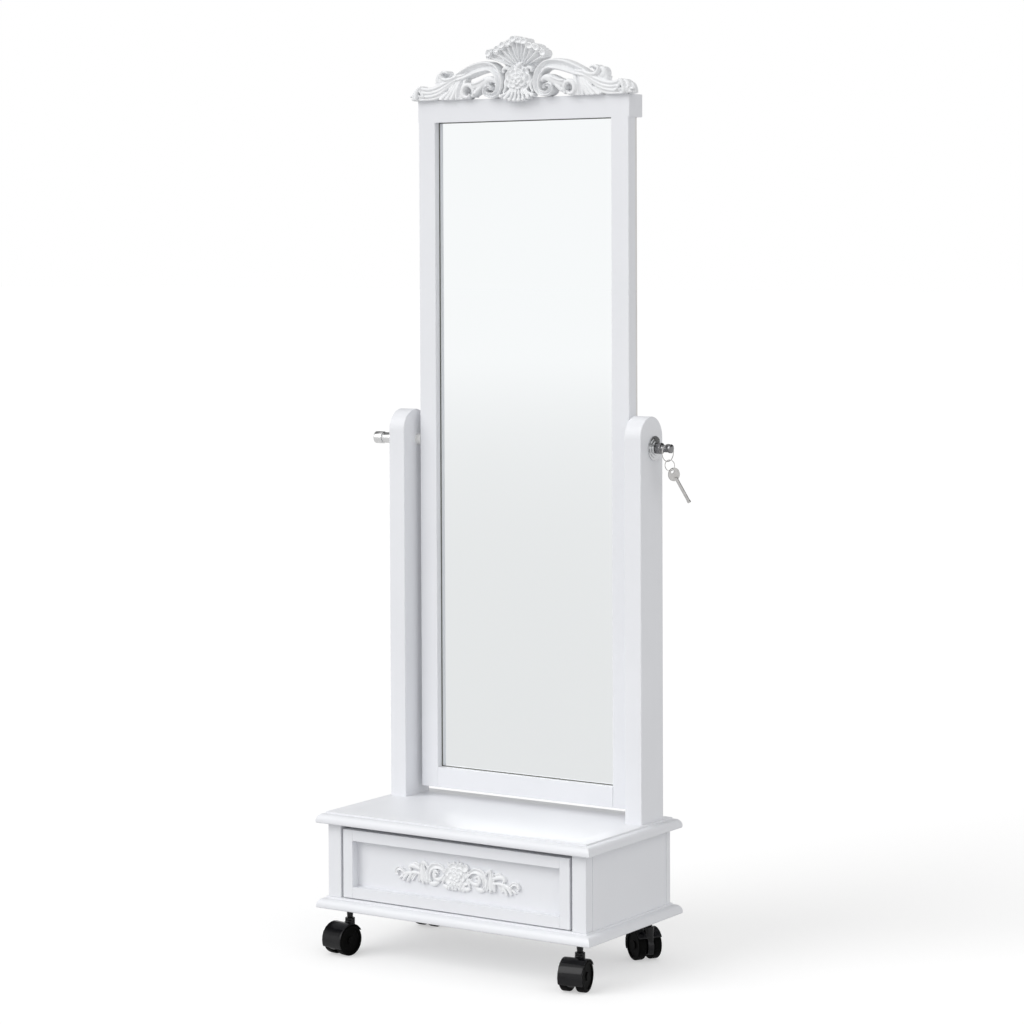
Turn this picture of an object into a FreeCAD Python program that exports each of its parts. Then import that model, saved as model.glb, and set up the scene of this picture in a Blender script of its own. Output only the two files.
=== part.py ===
# Cheval mirror on a rolling jewellery base, white painted wood with a carved crown.
# Millimetres. X runs to the viewer's right, the front looks along -Y, +Z is up.
# The origin is on the floor, under the middle of the base.

import FreeCAD
import Part
import math
import os

Vector = FreeCAD.Vector

OVER = 1.0                # how far a cutter or a joining piece runs past a face

# ---- base carcass -------------------------------------------------------------------
BODY_D = 247.0            # outside depth of the carcass
BODY_PAST_POST = 2.5      # the carcass side's distance outside each post
BODY_H = 117.0            # clear height between the two moulded boards
BOARD_T = 17.5            # thickness of each moulded board
NOSE_OUT = 14.5           # how far a board's nose stands out past the carcass
FLAT_OUT = 3.0            # how far a board's flat top runs past the carcass
STEP_H = 2.5              # height of the small fillet step under the flat top
OVOLO_R = 11.0            # radius of the quarter-round
NOSE_R = 2.0              # small rounding under the nose
CORNER_STILE_W = 24.6     # front corner stile, seen from the front
CORNER_STILE_T = 18.5     # front corner stile, seen from the side
SIDE_T = 16.0             # side panel thickness
BACK_T = 6.0              # back panel thickness
BACK_INSET = 4.0          # back panel set in from the rear edge
BEAD_W = 1.2              # fine vertical bead line on the sides
BEAD_DEEP = 0.8
REAR_BEAD_IN = 12.5       # rear bead line, in from the rear edge

# ---- drawer -------------------------------------------------------------------------
FRONT_SIDE_GAP = 4.4      # gap at each side of the drawer front
FRONT_LOW_GAP = 1.7       # gap under the drawer front
FRONT_TOP_GAP = 7.5       # gap above the drawer front
FRONT_T = 22.0            # thickness of the drawer front's frame
FRONT_STILE_W = 18.0
FRONT_RAIL_W = 17.3
FIELD_DEPTH = 15.0        # how deep the field panel lies behind the front
FIELD_T = 5.0
FIELD_TONGUE = 5.0        # how far the field panel enters its grooves
TONGUE_GAP = 0.3
BOX_SIDE_T = 12.0
BOX_SIDE_GAP = 8.5        # from the corner stile's inner edge to the box side
BOX_LOW = 6.6             # box side's lower edge above the bottom board
BOX_TOP_DROP = 19.9       # the sides' top edge is under the drawer front's top
BOX_REAR_GAP = 19.0       # room behind the closed drawer
BOX_BACK_T = 12.0
BOX_BACK_DROP = 6.0       # the back is lower than the sides
BOX_BOTTOM_T = 5.0
BOX_BOTTOM_UP = 6.0       # bottom panel above the sides' lower edge
BOX_GROOVE = 4.0
LINING_T = 2.0
LINING_GAP = 0.5
RUNNER_SHELF = 14.0       # width of the shelf that carries the box side
RUNNER_GAP = 0.3
RUNNER_GUIDE_H = 14.0
RUNNER_FRONT_GAP = 0.3    # the drawer front stops on the runners' ends
RUNNER_REAR_GAP = 6.0

# ---- posts --------------------------------------------------------------------------
POST_T = 30.0
POST_DEEP = 66.0
POST_REAR_IN = 15.5       # rear face in from the carcass's rear
POST_H = 627.8            # height above the base
POST_EDGE_R = 1.6
POST_SCREW_R = 3.0
POST_SCREW_LEN = 58.0
POST_SCREW_HEAD_R = 6.0
POST_SCREW_HEAD_H = 3.2
POST_SCREW_IN = 17.0      # screw line in from the post's front and rear edge
POST_SCREW_GAP = 0.5      # between a screw's head and the side panel
SCREW_GAP = 0.05

# ---- mirror -------------------------------------------------------------------------
FRAME_W = 396.0
FRAME_H = 1110.0
FRAME_T = 20.0
FRAME_LIFT = 15.0         # room between the base and the hanging frame
STILE_W = 32.0
BOTTOM_RAIL_H = 32.5
HEAD_RAIL_H = 35.3
HEAD_RAIL_OUT = 1.5       # head rail's overhang past each stile
HEAD_RAIL_DEEP = 40.0
FRAME_EDGE_R = 1.5
GLASS_BACK = 12.0         # how deep the glass lies behind the frame's front
GLASS_T = 4.0
REBATE = 6.0
REBATE_GAP = 0.5
BACKING_T = 6.0
BACKING_IN = 0.8
BACKING_TOP_GAP = 0.3
BACKING_SCREW_R = 1.6
BACKING_SCREW_HEAD_R = 3.6
BACKING_SCREW_HEAD_H = 1.6
BACKING_SCREW_LEN = 14.0
BACKING_SCREW_ROWS = 4
BACKING_SCREW_IN = 10.7   # screw line in from the frame's edges
BACKING_SCREW_TOP = 65.0  # top screws under the head rail

# ---- pivots -------------------------------------------------------------------------
PIVOT_DROP = 49.3         # pivot line under the posts' tops
PIVOT_IN_POST = 40.0      # pivot line behind the posts' front
PIVOT_IN_FRAME = 8.5      # pivot line behind the frame's front
STUD_R = 4.0
RUN_GAP = 0.05            # radial running clearance round studs, pins and axles
BUSHING_R = 7.0
INSERT_R = 6.0
INSERT_LEN = 22.0
SPACER_R = 9.0
SPACER_LEN = 9.2
SIDE_PLAY = 0.3           # play beside parts that turn
ROSE_R = 19.0
ROSE_STEP_T = 1.9
ROSE_STEPS = 3
ROSE_STEP_IN = 3.7
KNOB_HUB_R = 8.7
RIGHT_HUB_LEN = 8.8
RIGHT_SOCKET = 12.0       # depth of the stud's hole in the right knob
NECK_R = 5.8
NECK_LEN = 12.5
CAP_R = 6.9
CAP_LEN = 4.5
LEFT_BARREL_LEN = 30.5
LEFT_SOCKET = 18.0        # depth of the stud's hole in the left knob
LEFT_GROOVE_R = 7.4
LEFT_GROOVE_LEN = 2.0
LEFT_CAP_R = 9.8
LEFT_CAP_LEN = 15.5
CAP_EDGE_R = 1.4

# ---- keys ---------------------------------------------------------------------------
WIRE_R = 0.65
LOOP_GAP = 0.35
RING_ON_NECK = 9.8        # from the knob's hub to the ring
LARGE_RING_R = 13.25      # centre line radius
LARGE_RING_TURN = 80.0    # ring plane's direction, in degrees from +X towards +Y
SMALL_RING_R = 8.5
SMALL_RING_LEAN = 30.0    # degrees that the small ring leans outwards
KEY_ON_RING = 25.0        # degrees along the small ring to the key
KEY_TURN = 64.5
KEY_LEAN = 32.7
BOW_R = 10.5
BOW_T = 1.8
BOW_HOLE_R = 3.2
BOW_RIM = 1.5
BOW_LOOP_GAP = 1.1        # between the small ring's wire and the edge of the bow's hole
SHANK_R = 2.5
SHANK_ROOT = 5.0          # how far the shank reaches into the bow
SHANK_LEN = 47.0
SHANK_END_R = 2.9
SHANK_END_LEN = 3.0
SHANK_BORE_R = 1.4
SHANK_BORE_DEEP = 8.0

# ---- casters ------------------------------------------------------------------------
CASTER_SIDE_IN = 25.0     # stem in from the carcass's side
CASTER_END_IN = 22.5      # stem in from the carcass's front or rear
WHEEL_R = 24.0
WHEEL_IN = 5.9            # inner face of each wheel, from the caster's middle
WHEEL_W = 14.0
WHEEL_EDGE_R = 2.5
WHEEL_RIM = 5.0
WHEEL_DISH = 1.6
WHEEL_CAP_R = 7.0
AXLE_R = 2.5
AXLE_HALF = 18.3
WHEEL_CAP_T = 1.2
TRAIL = 17.0              # axle behind the stem
WEB_HALF = 5.3
WEB_DROP = 13.0           # the web ends this far under the axle
HOOD_GAP = 0.8            # between the wheels and the hood
HOOD_T = 1.5
HOOD_HALF = 20.4
HOOD_FRONT_ANGLE = -25.0
HOOD_BACK_ANGLE = 150.0
COLLAR_R = 7.9
COLLAR_RISE = 5.2         # collar above the hood
STEM_RISE = 17.2          # open length of the stem, under the base
CASTER_PIN_R = 4.0
STEM_LOW_R = 4.6
STEM_TOP_R = 5.9
PIN_RISE = 9.0            # pin's lower end above the axle
PIN_FLOOR = 3.0           # material under the pin's bore
PIN_UP = 13.0             # how far the pin enters the bottom board
SLEEVE_R = 5.5
SLEEVE_LEN = 13.6
BORE_END_GAP = 0.5

# ---- crown --------------------------------------------------------------------------
CROWN_BACK_AT = 10.5      # rear face, behind the frame's front
CROWN_FRONT_AT = -5.5     # front of the flat parts
CROWN_RAISED_AT = -11.5   # front of the scrolls and the shell
CROWN_LOWERED_AT = -10.0  # front of every second rib
CROWN_EYE_AT = -14.5      # front of the volutes' eyes
CROWN_BAR_FRONT_AT = -2.5 # front of the foot bar
CROWN_BAR_H = 5.0
CROWN_BAR_HALF = 204.0
SHELL_UP = 51.0           # shell's centre above the head rail
SHELL_R = 46.0
SHELL_CORE_R = 28.0
SHELL_LOBES = 9
SHELL_LOBE_R = 8.5
SHELL_RIB_W = 13.6
SHELL_RIB_DROP = 6.0      # where the ribs start, under the shell's centre
SHELL_SPREAD = 152.0      # degrees from the first lobe to the last
ROSETTE_UP = 30.0
ROSETTE_CORE_R = 11.4
ROSETTE_PETALS = 6
ROSETTE_PETAL_R = 8.0
ROSETTE_PETAL_OUT = 11.0
SCROLL_X = 72.0           # middle of the C-scroll's arch
SCROLL_RX = 42.0
SCROLL_RZ = 55.0
SCROLL_W = 9.0
VOLUTE_X = 54.0
VOLUTE_UP = 12.5
VOLUTE_R = 13.0
SECOND_VOLUTE_X = 96.0
SECOND_VOLUTE_R = 12.0
VOLUTE_RIM = 4.0
VOLUTE_DEEP = 5.0
EYE_R = 5.5
FAN_X = 128.0
FAN_UP = 32.0
FAN_HUB_R = 6.0
FAN_LEAVES = 6
FAN_START = 232.0         # degrees, the first leaf's direction
FAN_SWEEP = 118.0
FAN_LEAF_L = 40.0
FAN_LEAF_W = 13.0
FAN_FOOT = 1.0            # how far the leaves' tips stay above the head rail
BRANCH_X = 92.0
BRANCH_UP = 54.0
BRANCH_TURN = -22.0
BRANCH_L = 66.0
BRANCH_W = 17.0
CURL_X = 140.0
CURL_UP = 36.0
CURL_R = 9.5
END_LEAF_X = 134.0
END_LEAF_UP = 30.0
END_LEAF_TURN = -16.0
END_LEAF_L = 62.0
END_LEAF_W = 19.0
SPRIG_X = 152.0
SPRIG_UP = 6.0
SPRIG_TURN = 40.0
SPRIG_L = 30.0
SPRIG_W = 12.0
END_CURL_X = 206.5
END_CURL_UP = 5.5
END_CURL_R = 6.0
FRINGE_LEAVES = 5
FRINGE_UP = 18.0
FRINGE_SPREAD = 26.0      # from the first leaf's root to the last
FRINGE_FAN = 70.0         # degrees from the first leaf to the last
FRINGE_L = 26.0
FRINGE_W = 12.0
FRINGE_BACK_GAP = 0.3

# ---- drawer ornament ----------------------------------------------------------------
ORNAMENT_T = 5.5
ORNAMENT_THIN = 3.2
PETAL_T = 4.3
BLOOM_CORE_R = 9.0
BLOOM_PETALS = 5
BLOOM_PETAL_R = 7.5
BLOOM_PETAL_OUT = 7.5
BLOOM_LEAF_TURN = 35.0
BLOOM_LEAF_L = 30.0
BLOOM_LEAF_W = 13.0
STEM_W = 3.4
SPRAY_START = 31.0
SPRAY_PITCH = 15.0
SPRAY_LEAVES = 5
SPRAY_LEAF_TURN = 34.0
SPRAY_LEAF_L = 22.0
SPRAY_LEAF_W = 9.0
SPRAY_END = 119.0

# ---- derived places -----------------------------------------------------------------
AXLE_Z = WHEEL_R
HOOD_R = WHEEL_R + HOOD_GAP + HOOD_T
COLLAR_TOP = AXLE_Z + HOOD_R + COLLAR_RISE
PIN_LOW = AXLE_Z + PIN_RISE
BOARD_UNDERSIDE = COLLAR_TOP + SIDE_PLAY + STEM_RISE
BODY_LOW = BOARD_UNDERSIDE + BOARD_T
BODY_HIGH = BODY_LOW + BODY_H
BASE_TOP = BODY_HIGH + BOARD_T
FRAME_HALF = FRAME_W / 2
POST_INNER = FRAME_HALF + SIDE_PLAY + SPACER_LEN
POST_OUTER = POST_INNER + POST_T
BODY_W = 2 * (POST_OUTER + BODY_PAST_POST)
BODY_FRONT = -BODY_D / 2
BODY_BACK = BODY_D / 2
OPENING_HALF = BODY_W / 2 - CORNER_STILE_W
FRONT_HALF = OPENING_HALF - FRONT_SIDE_GAP
FRONT_LOW = BODY_LOW + FRONT_LOW_GAP
FRONT_HIGH = BODY_HIGH - FRONT_TOP_GAP
FRONT_BACK = BODY_FRONT + FRONT_T
FIELD_FRONT = BODY_FRONT + FIELD_DEPTH
FIELD_HALF = FRONT_HALF - FRONT_STILE_W
FIELD_LOW = FRONT_LOW + FRONT_RAIL_W
FIELD_HIGH = FRONT_HIGH - FRONT_RAIL_W
BOX_OUTER = OPENING_HALF - BOX_SIDE_GAP
BOX_INNER = BOX_OUTER - BOX_SIDE_T
BOX_BASE = BODY_LOW + BOX_LOW
BOX_TOP = FRONT_HIGH - BOX_TOP_DROP
BACK_PANEL_FRONT = BODY_BACK - BACK_INSET - BACK_T
BOX_END = BACK_PANEL_FRONT - BOX_REAR_GAP
SIDE_INNER = BODY_W / 2 - SIDE_T
POST_BACK = BODY_BACK - POST_REAR_IN
POST_FRONT = POST_BACK - POST_DEEP
POST_TOP = BASE_TOP + POST_H
PIVOT_Y = POST_FRONT + PIVOT_IN_POST
PIVOT_Z = POST_TOP - PIVOT_DROP
FRAME_FRONT = PIVOT_Y - PIVOT_IN_FRAME
FRAME_LOW = BASE_TOP + FRAME_LIFT
FRAME_HIGH = FRAME_LOW + FRAME_H
FRAME_BACK = FRAME_FRONT + FRAME_T
SIGHT_HALF = FRAME_HALF - STILE_W
SIGHT_LOW = FRAME_LOW + BOTTOM_RAIL_H
SIGHT_HIGH = FRAME_HIGH - HEAD_RAIL_H
GLASS_FRONT = FRAME_FRONT + GLASS_BACK
KNOB_FACE = POST_OUTER + ROSE_STEPS * ROSE_STEP_T + SIDE_PLAY
RING_X = KNOB_FACE + RIGHT_HUB_LEN + RING_ON_NECK
CROWN_BACK = FRAME_FRONT + CROWN_BACK_AT
CROWN_FRONT = FRAME_FRONT + CROWN_FRONT_AT
CROWN_RAISED = FRAME_FRONT + CROWN_RAISED_AT
CROWN_LOWERED = FRAME_FRONT + CROWN_LOWERED_AT
CROWN_EYE = FRAME_FRONT + CROWN_EYE_AT
CROWN_BAR_FRONT = FRAME_FRONT + CROWN_BAR_FRONT_AT
CASTER_X = BODY_W / 2 - CASTER_SIDE_IN
CASTER_Y = BODY_D / 2 - CASTER_END_IN
CASTER_PLACES = (
    ("front_left", -CASTER_X, -CASTER_Y, -98.0),
    ("front_right", CASTER_X, -CASTER_Y, -79.0),
    ("rear_left", -CASTER_X, CASTER_Y, 90.0),
    ("rear_right", CASTER_X, CASTER_Y, 148.0),
)


# ---- small helpers ------------------------------------------------------------------
def block(x0, x1, y0, y1, z0, z1):
    """A box between two limits on each axis."""
    return Part.makeBox(x1 - x0, y1 - y0, z1 - z0, Vector(x0, y0, z0))


def rod(radius, start, direction, length):
    """A round bar from a point along a direction."""
    return Part.makeCylinder(radius, length, start, direction)


def mirrored(shape):
    """The same shape on the other side of the middle plane."""
    return shape.mirror(Vector(0, 0, 0), Vector(1, 0, 0))


def pair(shape):
    """Two solids, right and left, in one group."""
    return Part.makeCompound([shape, mirrored(shape)])


def fused(shapes):
    """One solid from overlapping shapes."""
    return shapes[0].multiFuse(shapes[1:]).removeSplitter()


def prism(points, y0, y1):
    """A polygon given in X and Z, carried from one depth to another."""
    corners = [Vector(x, y0, z) for x, z in points]
    wire = Part.makePolygon(corners + [corners[0]])
    return Part.Face(wire).extrude(Vector(0, y1 - y0, 0))


def rounded(shape, radius, keep):
    """Round the edges that a test picks."""
    edges = [edge for edge in shape.Edges if keep(edge)]
    return shape.makeFillet(radius, edges)


def is_vertical(edge):
    """True for an upright edge."""
    box = edge.BoundBox
    return box.ZLength > 1.0 and box.XLength < 0.01 and box.YLength < 0.01


# ---- base ---------------------------------------------------------------------------
def board_section(half, top, along_y):
    """Cross-section of a moulded board: flat top, small step, quarter-round, short nose."""
    def place(u, w):
        return Vector(0, u, w) if along_y else Vector(u, 0, w)

    flat = half + FLAT_OUT
    nose = half + NOSE_OUT
    low = top - BOARD_T
    turn = top - STEP_H - OVOLO_R
    diagonal = math.sqrt(0.5)
    edges = []
    for side in (1, -1):
        arc_mid = place(side * (nose - OVOLO_R + OVOLO_R * diagonal), turn + OVOLO_R * diagonal)
        small_mid = place(
            side * (nose - NOSE_R + NOSE_R * diagonal), low + NOSE_R - NOSE_R * diagonal
        )
        step_foot = place(side * flat, top - STEP_H)
        arc_start = place(side * (nose - OVOLO_R), top - STEP_H)
        arc_end = place(side * nose, turn)
        nose_low = place(side * nose, low + NOSE_R)
        under = place(side * (nose - NOSE_R), low)
        edges.append(Part.makeLine(place(side * flat, top), step_foot))
        edges.append(Part.makeLine(step_foot, arc_start))
        edges.append(Part.Arc(arc_start, arc_mid, arc_end).toShape())
        edges.append(Part.makeLine(arc_end, nose_low))
        edges.append(Part.Arc(nose_low, small_mid, under).toShape())
    edges.append(Part.makeLine(place(flat, top), place(-flat, top)))
    edges.append(Part.makeLine(place(nose - NOSE_R, low), place(-(nose - NOSE_R), low)))
    return Part.Face(Part.Wire(Part.__sortEdges__(edges)))


def moulded_board(top):
    """A board moulded on all four sides, with mitred corners."""
    reach_x = BODY_W / 2 + NOSE_OUT
    reach_y = BODY_D / 2 + NOSE_OUT
    long_way = board_section(BODY_D / 2, top, True)
    long_way.translate(Vector(-reach_x, 0, 0))
    cross_way = board_section(BODY_W / 2, top, False)
    cross_way.translate(Vector(0, -reach_y, 0))
    run = long_way.extrude(Vector(2 * reach_x, 0, 0))
    return run.common(cross_way.extrude(Vector(0, 2 * reach_y, 0)))


def post_screw_places():
    """Screw centres under both posts."""
    line = SIDE_INNER - POST_SCREW_HEAD_R - POST_SCREW_GAP
    depths = (POST_FRONT + POST_SCREW_IN, POST_BACK - POST_SCREW_IN)
    return [(side * line, depth) for side in (1, -1) for depth in depths]


def base_top_board():
    """Top board with clearance holes for the post screws."""
    board = moulded_board(BASE_TOP)
    for x, y in post_screw_places():
        start = Vector(x, y, BODY_HIGH - OVER)
        board = board.cut(rod(POST_SCREW_R + SCREW_GAP, start, Vector(0, 0, 1), BOARD_T + 2 * OVER))
    return board


def base_bottom_board():
    """Bottom board with a blind hole over each caster."""
    board = moulded_board(BODY_LOW)
    for name, x, y, turn in CASTER_PLACES:
        hole = rod(SLEEVE_R + SCREW_GAP, Vector(x, y, BOARD_UNDERSIDE), Vector(0, 0, 1), SLEEVE_LEN)
        board = board.cut(hole)
    return board


def front_stile():
    """Right front corner stile of the carcass."""
    return block(OPENING_HALF, BODY_W / 2, BODY_FRONT, BODY_FRONT + CORNER_STILE_T, BODY_LOW, BODY_HIGH)


def side_panel():
    """Right side panel with a fine bead line behind the stile and one near the rear."""
    front = BODY_FRONT + CORNER_STILE_T
    panel = block(SIDE_INNER, BODY_W / 2, front, BODY_BACK, BODY_LOW, BODY_HIGH)
    for start in (front, BODY_BACK - REAR_BEAD_IN):
        groove = block(BODY_W / 2 - BEAD_DEEP, BODY_W / 2, start, start + BEAD_W, BODY_LOW, BODY_HIGH)
        panel = panel.cut(groove)
    return panel


def back_panel():
    """Panel between the sides at the rear."""
    rear = BACK_PANEL_FRONT + BACK_T
    return block(-SIDE_INNER, SIDE_INNER, BACK_PANEL_FRONT, rear, BODY_LOW, BODY_HIGH)


def drawer_runner():
    """Right runner: a shelf under the box side and a guide beside it."""
    front = FRONT_BACK + RUNNER_FRONT_GAP
    rear = BACK_PANEL_FRONT - RUNNER_REAR_GAP
    shelf_top = BOX_BASE - RUNNER_GAP
    shelf = block(BOX_OUTER - RUNNER_SHELF, SIDE_INNER, front, rear, BODY_LOW, shelf_top)
    guide_top = shelf_top + RUNNER_GUIDE_H
    guide = block(BOX_OUTER + RUNNER_GAP, SIDE_INNER, front, rear, shelf_top, guide_top)
    return shelf.fuse(guide).removeSplitter()


# ---- drawer -------------------------------------------------------------------------
def field_panel():
    """Recessed panel of the drawer front, with its tongues."""
    out = FIELD_TONGUE - TONGUE_GAP
    half = FIELD_HALF + out
    return block(-half, half, FIELD_FRONT, FIELD_FRONT + FIELD_T, FIELD_LOW - out, FIELD_HIGH + out)


def field_groove():
    """The space that the field panel's tongues take in the frame round it."""
    half = FIELD_HALF + FIELD_TONGUE
    low = FIELD_LOW - FIELD_TONGUE
    return block(-half, half, FIELD_FRONT, FIELD_FRONT + FIELD_T, low, FIELD_HIGH + FIELD_TONGUE)


def drawer_stile():
    """Right stile of the drawer front, full height."""
    stile = block(FIELD_HALF, FRONT_HALF, BODY_FRONT, FRONT_BACK, FRONT_LOW, FRONT_HIGH)
    return stile.cut(field_groove())


def drawer_rail(low):
    """A rail between the drawer front's stiles."""
    rail = block(-FIELD_HALF, FIELD_HALF, BODY_FRONT, FRONT_BACK, low, low + FRONT_RAIL_W)
    return rail.cut(field_groove())


def box_bottom():
    """Bottom of the drawer box, let into the sides."""
    half = BOX_INNER + BOX_GROOVE - TONGUE_GAP
    low = BOX_BASE + BOX_BOTTOM_UP
    return block(-half, half, FRONT_BACK, BOX_END - BOX_BACK_T, low, low + BOX_BOTTOM_T)


def box_side():
    """Right side of the drawer box, grooved for the bottom."""
    side = block(BOX_INNER, BOX_OUTER, FRONT_BACK, BOX_END, BOX_BASE, BOX_TOP)
    low = BOX_BASE + BOX_BOTTOM_UP
    end = BOX_END - BOX_BACK_T
    groove = block(BOX_INNER, BOX_INNER + BOX_GROOVE, FRONT_BACK, end, low, low + BOX_BOTTOM_T)
    return side.cut(groove)


def box_back():
    """Back of the drawer box, between the sides."""
    return block(-BOX_INNER, BOX_INNER, BOX_END - BOX_BACK_T, BOX_END, BOX_BASE, BOX_TOP - BOX_BACK_DROP)


def drawer_lining():
    """Felt pad on the drawer's bottom."""
    low = BOX_BASE + BOX_BOTTOM_UP + BOX_BOTTOM_T
    half = BOX_INNER - LINING_GAP
    front = FRONT_BACK + LINING_GAP
    return block(-half, half, front, BOX_END - BOX_BACK_T - LINING_GAP, low, low + LINING_T)


# ---- leaf and scroll shapes ---------------------------------------------------------
def leaf(x, z, angle, length, width, y0, y1):
    """A pointed leaf: two arcs from its root to its tip, carried through a depth."""
    along = math.radians(angle)
    root = Vector(x, y0, z)
    tip = Vector(x + length * math.cos(along), y0, z + length * math.sin(along))
    middle = (root + tip) * 0.5
    across = Vector(-math.sin(along), 0, math.cos(along)) * (width / 2)
    upper = Part.Arc(root, middle + across, tip).toShape()
    lower = Part.Arc(tip, middle - across, root).toShape()
    return Part.Face(Part.Wire([upper, lower])).extrude(Vector(0, y1 - y0, 0))


def disc(x, z, radius, y0, y1):
    """A round boss facing the viewer."""
    return rod(radius, Vector(x, y0, z), Vector(0, 1, 0), y1 - y0)


def arch_band(x, z, rx, rz, start, end, width, y0, y1, steps=16):
    """A band that follows part of an ellipse."""
    outer = []
    inner = []
    for step in range(steps + 1):
        turn = math.radians(start + (end - start) * step / steps)
        cos_t, sin_t = math.cos(turn), math.sin(turn)
        outer.append((x + (rx + width / 2) * cos_t, z + (rz + width / 2) * sin_t))
        inner.append((x + (rx - width / 2) * cos_t, z + (rz - width / 2) * sin_t))
    return prism(outer + inner[::-1], y0, y1)


# ---- crown --------------------------------------------------------------------------
def crown_shell():
    """Fan of lobes round the shell's centre, with a ribbed face."""
    centre = FRAME_HIGH + SHELL_UP
    pieces = [disc(0, centre, SHELL_CORE_R, CROWN_FRONT, CROWN_BACK)]
    for lobe in range(SHELL_LOBES):
        turn = 90.0 + SHELL_SPREAD * (lobe / (SHELL_LOBES - 1) - 0.5)
        reach = SHELL_R - SHELL_LOBE_R
        end_x = reach * math.cos(math.radians(turn))
        end_z = centre + reach * math.sin(math.radians(turn))
        front = CROWN_LOWERED if lobe % 2 else CROWN_RAISED
        pieces.append(disc(end_x, end_z, SHELL_LOBE_R, front, CROWN_BACK))
        pieces.append(leaf(0, centre - SHELL_RIB_DROP, turn, SHELL_R, SHELL_RIB_W, front, CROWN_BACK))
    return pieces


def crown_rosette():
    """Central knot of petals under the shell."""
    centre = FRAME_HIGH + ROSETTE_UP
    pieces = [disc(0, centre, ROSETTE_CORE_R, CROWN_EYE, CROWN_BACK)]
    for petal in range(ROSETTE_PETALS):
        turn = math.radians(360.0 * (petal + 0.5) / ROSETTE_PETALS)
        x = ROSETTE_PETAL_OUT * math.cos(turn)
        z = centre + ROSETTE_PETAL_OUT * math.sin(turn)
        pieces.append(disc(x, z, ROSETTE_PETAL_R, CROWN_RAISED, CROWN_BACK))
    return pieces


def crown_fringe():
    """Leaves that hang from the knot over the front of the head rail."""
    back = FRAME_FRONT - FRINGE_BACK_GAP
    pieces = []
    for step in range(FRINGE_LEAVES):
        share = step / (FRINGE_LEAVES - 1) - 0.5
        x = FRINGE_SPREAD * share
        turn = 270.0 + FRINGE_FAN * share
        pieces.append(leaf(x, FRAME_HIGH + FRINGE_UP, turn, FRINGE_L, FRINGE_W, CROWN_RAISED, back))
    return pieces


def crown_volute(x, radius):
    """A scroll's curled end: a rim, a sunk ring and a raised eye."""
    z = FRAME_HIGH + VOLUTE_UP
    ring = disc(x, z, radius, CROWN_RAISED, CROWN_BACK)
    hollow = disc(x, z, radius - VOLUTE_RIM, CROWN_RAISED, CROWN_RAISED + VOLUTE_DEEP)
    return [ring.cut(hollow), disc(x, z, EYE_R, CROWN_EYE, CROWN_BACK)]


def crown_fan():
    """Fluted leaves that spread down to the head rail."""
    pieces = []
    for step in range(FAN_LEAVES):
        turn = FAN_START + FAN_SWEEP * step / (FAN_LEAVES - 1)
        x = FAN_X + FAN_HUB_R * math.cos(math.radians(turn))
        fall = max(0.1, -math.sin(math.radians(turn)))
        length = min(FAN_LEAF_L, (FAN_UP - FAN_FOOT) / fall)
        front = CROWN_LOWERED if step % 2 else CROWN_RAISED
        pieces.append(leaf(x, FRAME_HIGH + FAN_UP, turn, length, FAN_LEAF_W, front, CROWN_BACK))
    return pieces


def crown_wing():
    """Right wing: C-scroll with its volutes, fluted fan, upturned curl and end leaf."""
    low = FRAME_HIGH
    scroll = arch_band(
        SCROLL_X, low, SCROLL_RX, SCROLL_RZ, 0, 180, SCROLL_W, CROWN_RAISED, CROWN_BACK
    )
    branch = leaf(BRANCH_X, low + BRANCH_UP, BRANCH_TURN, BRANCH_L, BRANCH_W, CROWN_FRONT, CROWN_BACK)
    end_leaf = leaf(
        END_LEAF_X, low + END_LEAF_UP, END_LEAF_TURN, END_LEAF_L, END_LEAF_W, CROWN_FRONT, CROWN_BACK
    )
    sprig = leaf(SPRIG_X, low + SPRIG_UP, SPRIG_TURN, SPRIG_L, SPRIG_W, CROWN_RAISED, CROWN_BACK)
    curl = disc(CURL_X, low + CURL_UP, CURL_R, CROWN_RAISED, CROWN_BACK)
    end_curl = disc(END_CURL_X, low + END_CURL_UP, END_CURL_R, CROWN_RAISED, CROWN_BACK)
    volutes = crown_volute(VOLUTE_X, VOLUTE_R) + crown_volute(SECOND_VOLUTE_X, SECOND_VOLUTE_R)
    return [scroll, branch, end_leaf, sprig, curl, end_curl] + volutes + crown_fan()


def crown_carving():
    """The whole carved crown, standing on the head rail."""
    half = CROWN_BAR_HALF
    bar = block(-half, half, CROWN_BAR_FRONT, CROWN_BACK, FRAME_HIGH, FRAME_HIGH + CROWN_BAR_H)
    wing = crown_wing()
    crown = fused([bar] + crown_shell() + crown_rosette() + wing + [mirrored(piece) for piece in wing])
    reach = 2 * half
    below = block(-reach, reach, 0, reach, FRAME_HIGH - reach, FRAME_HIGH)
    return fused([crown.cut(below)] + crown_fringe())


# ---- drawer ornament ----------------------------------------------------------------
def bloom():
    """Rose with leaves, at the middle of the field panel."""
    middle = (FIELD_LOW + FIELD_HIGH) / 2
    back = FIELD_FRONT
    pieces = [disc(0, middle, BLOOM_CORE_R, back - ORNAMENT_T, back)]
    for petal in range(BLOOM_PETALS):
        turn = math.radians(360.0 * petal / BLOOM_PETALS + 90.0)
        x = BLOOM_PETAL_OUT * math.cos(turn)
        z = middle + BLOOM_PETAL_OUT * math.sin(turn)
        pieces.append(disc(x, z, BLOOM_PETAL_R, back - PETAL_T, back))
    for turn in (BLOOM_LEAF_TURN, 180.0 - BLOOM_LEAF_TURN, 180.0 + BLOOM_LEAF_TURN, -BLOOM_LEAF_TURN):
        pieces.append(leaf(0, middle, turn, BLOOM_LEAF_L, BLOOM_LEAF_W, back - ORNAMENT_THIN, back))
    return pieces


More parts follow.
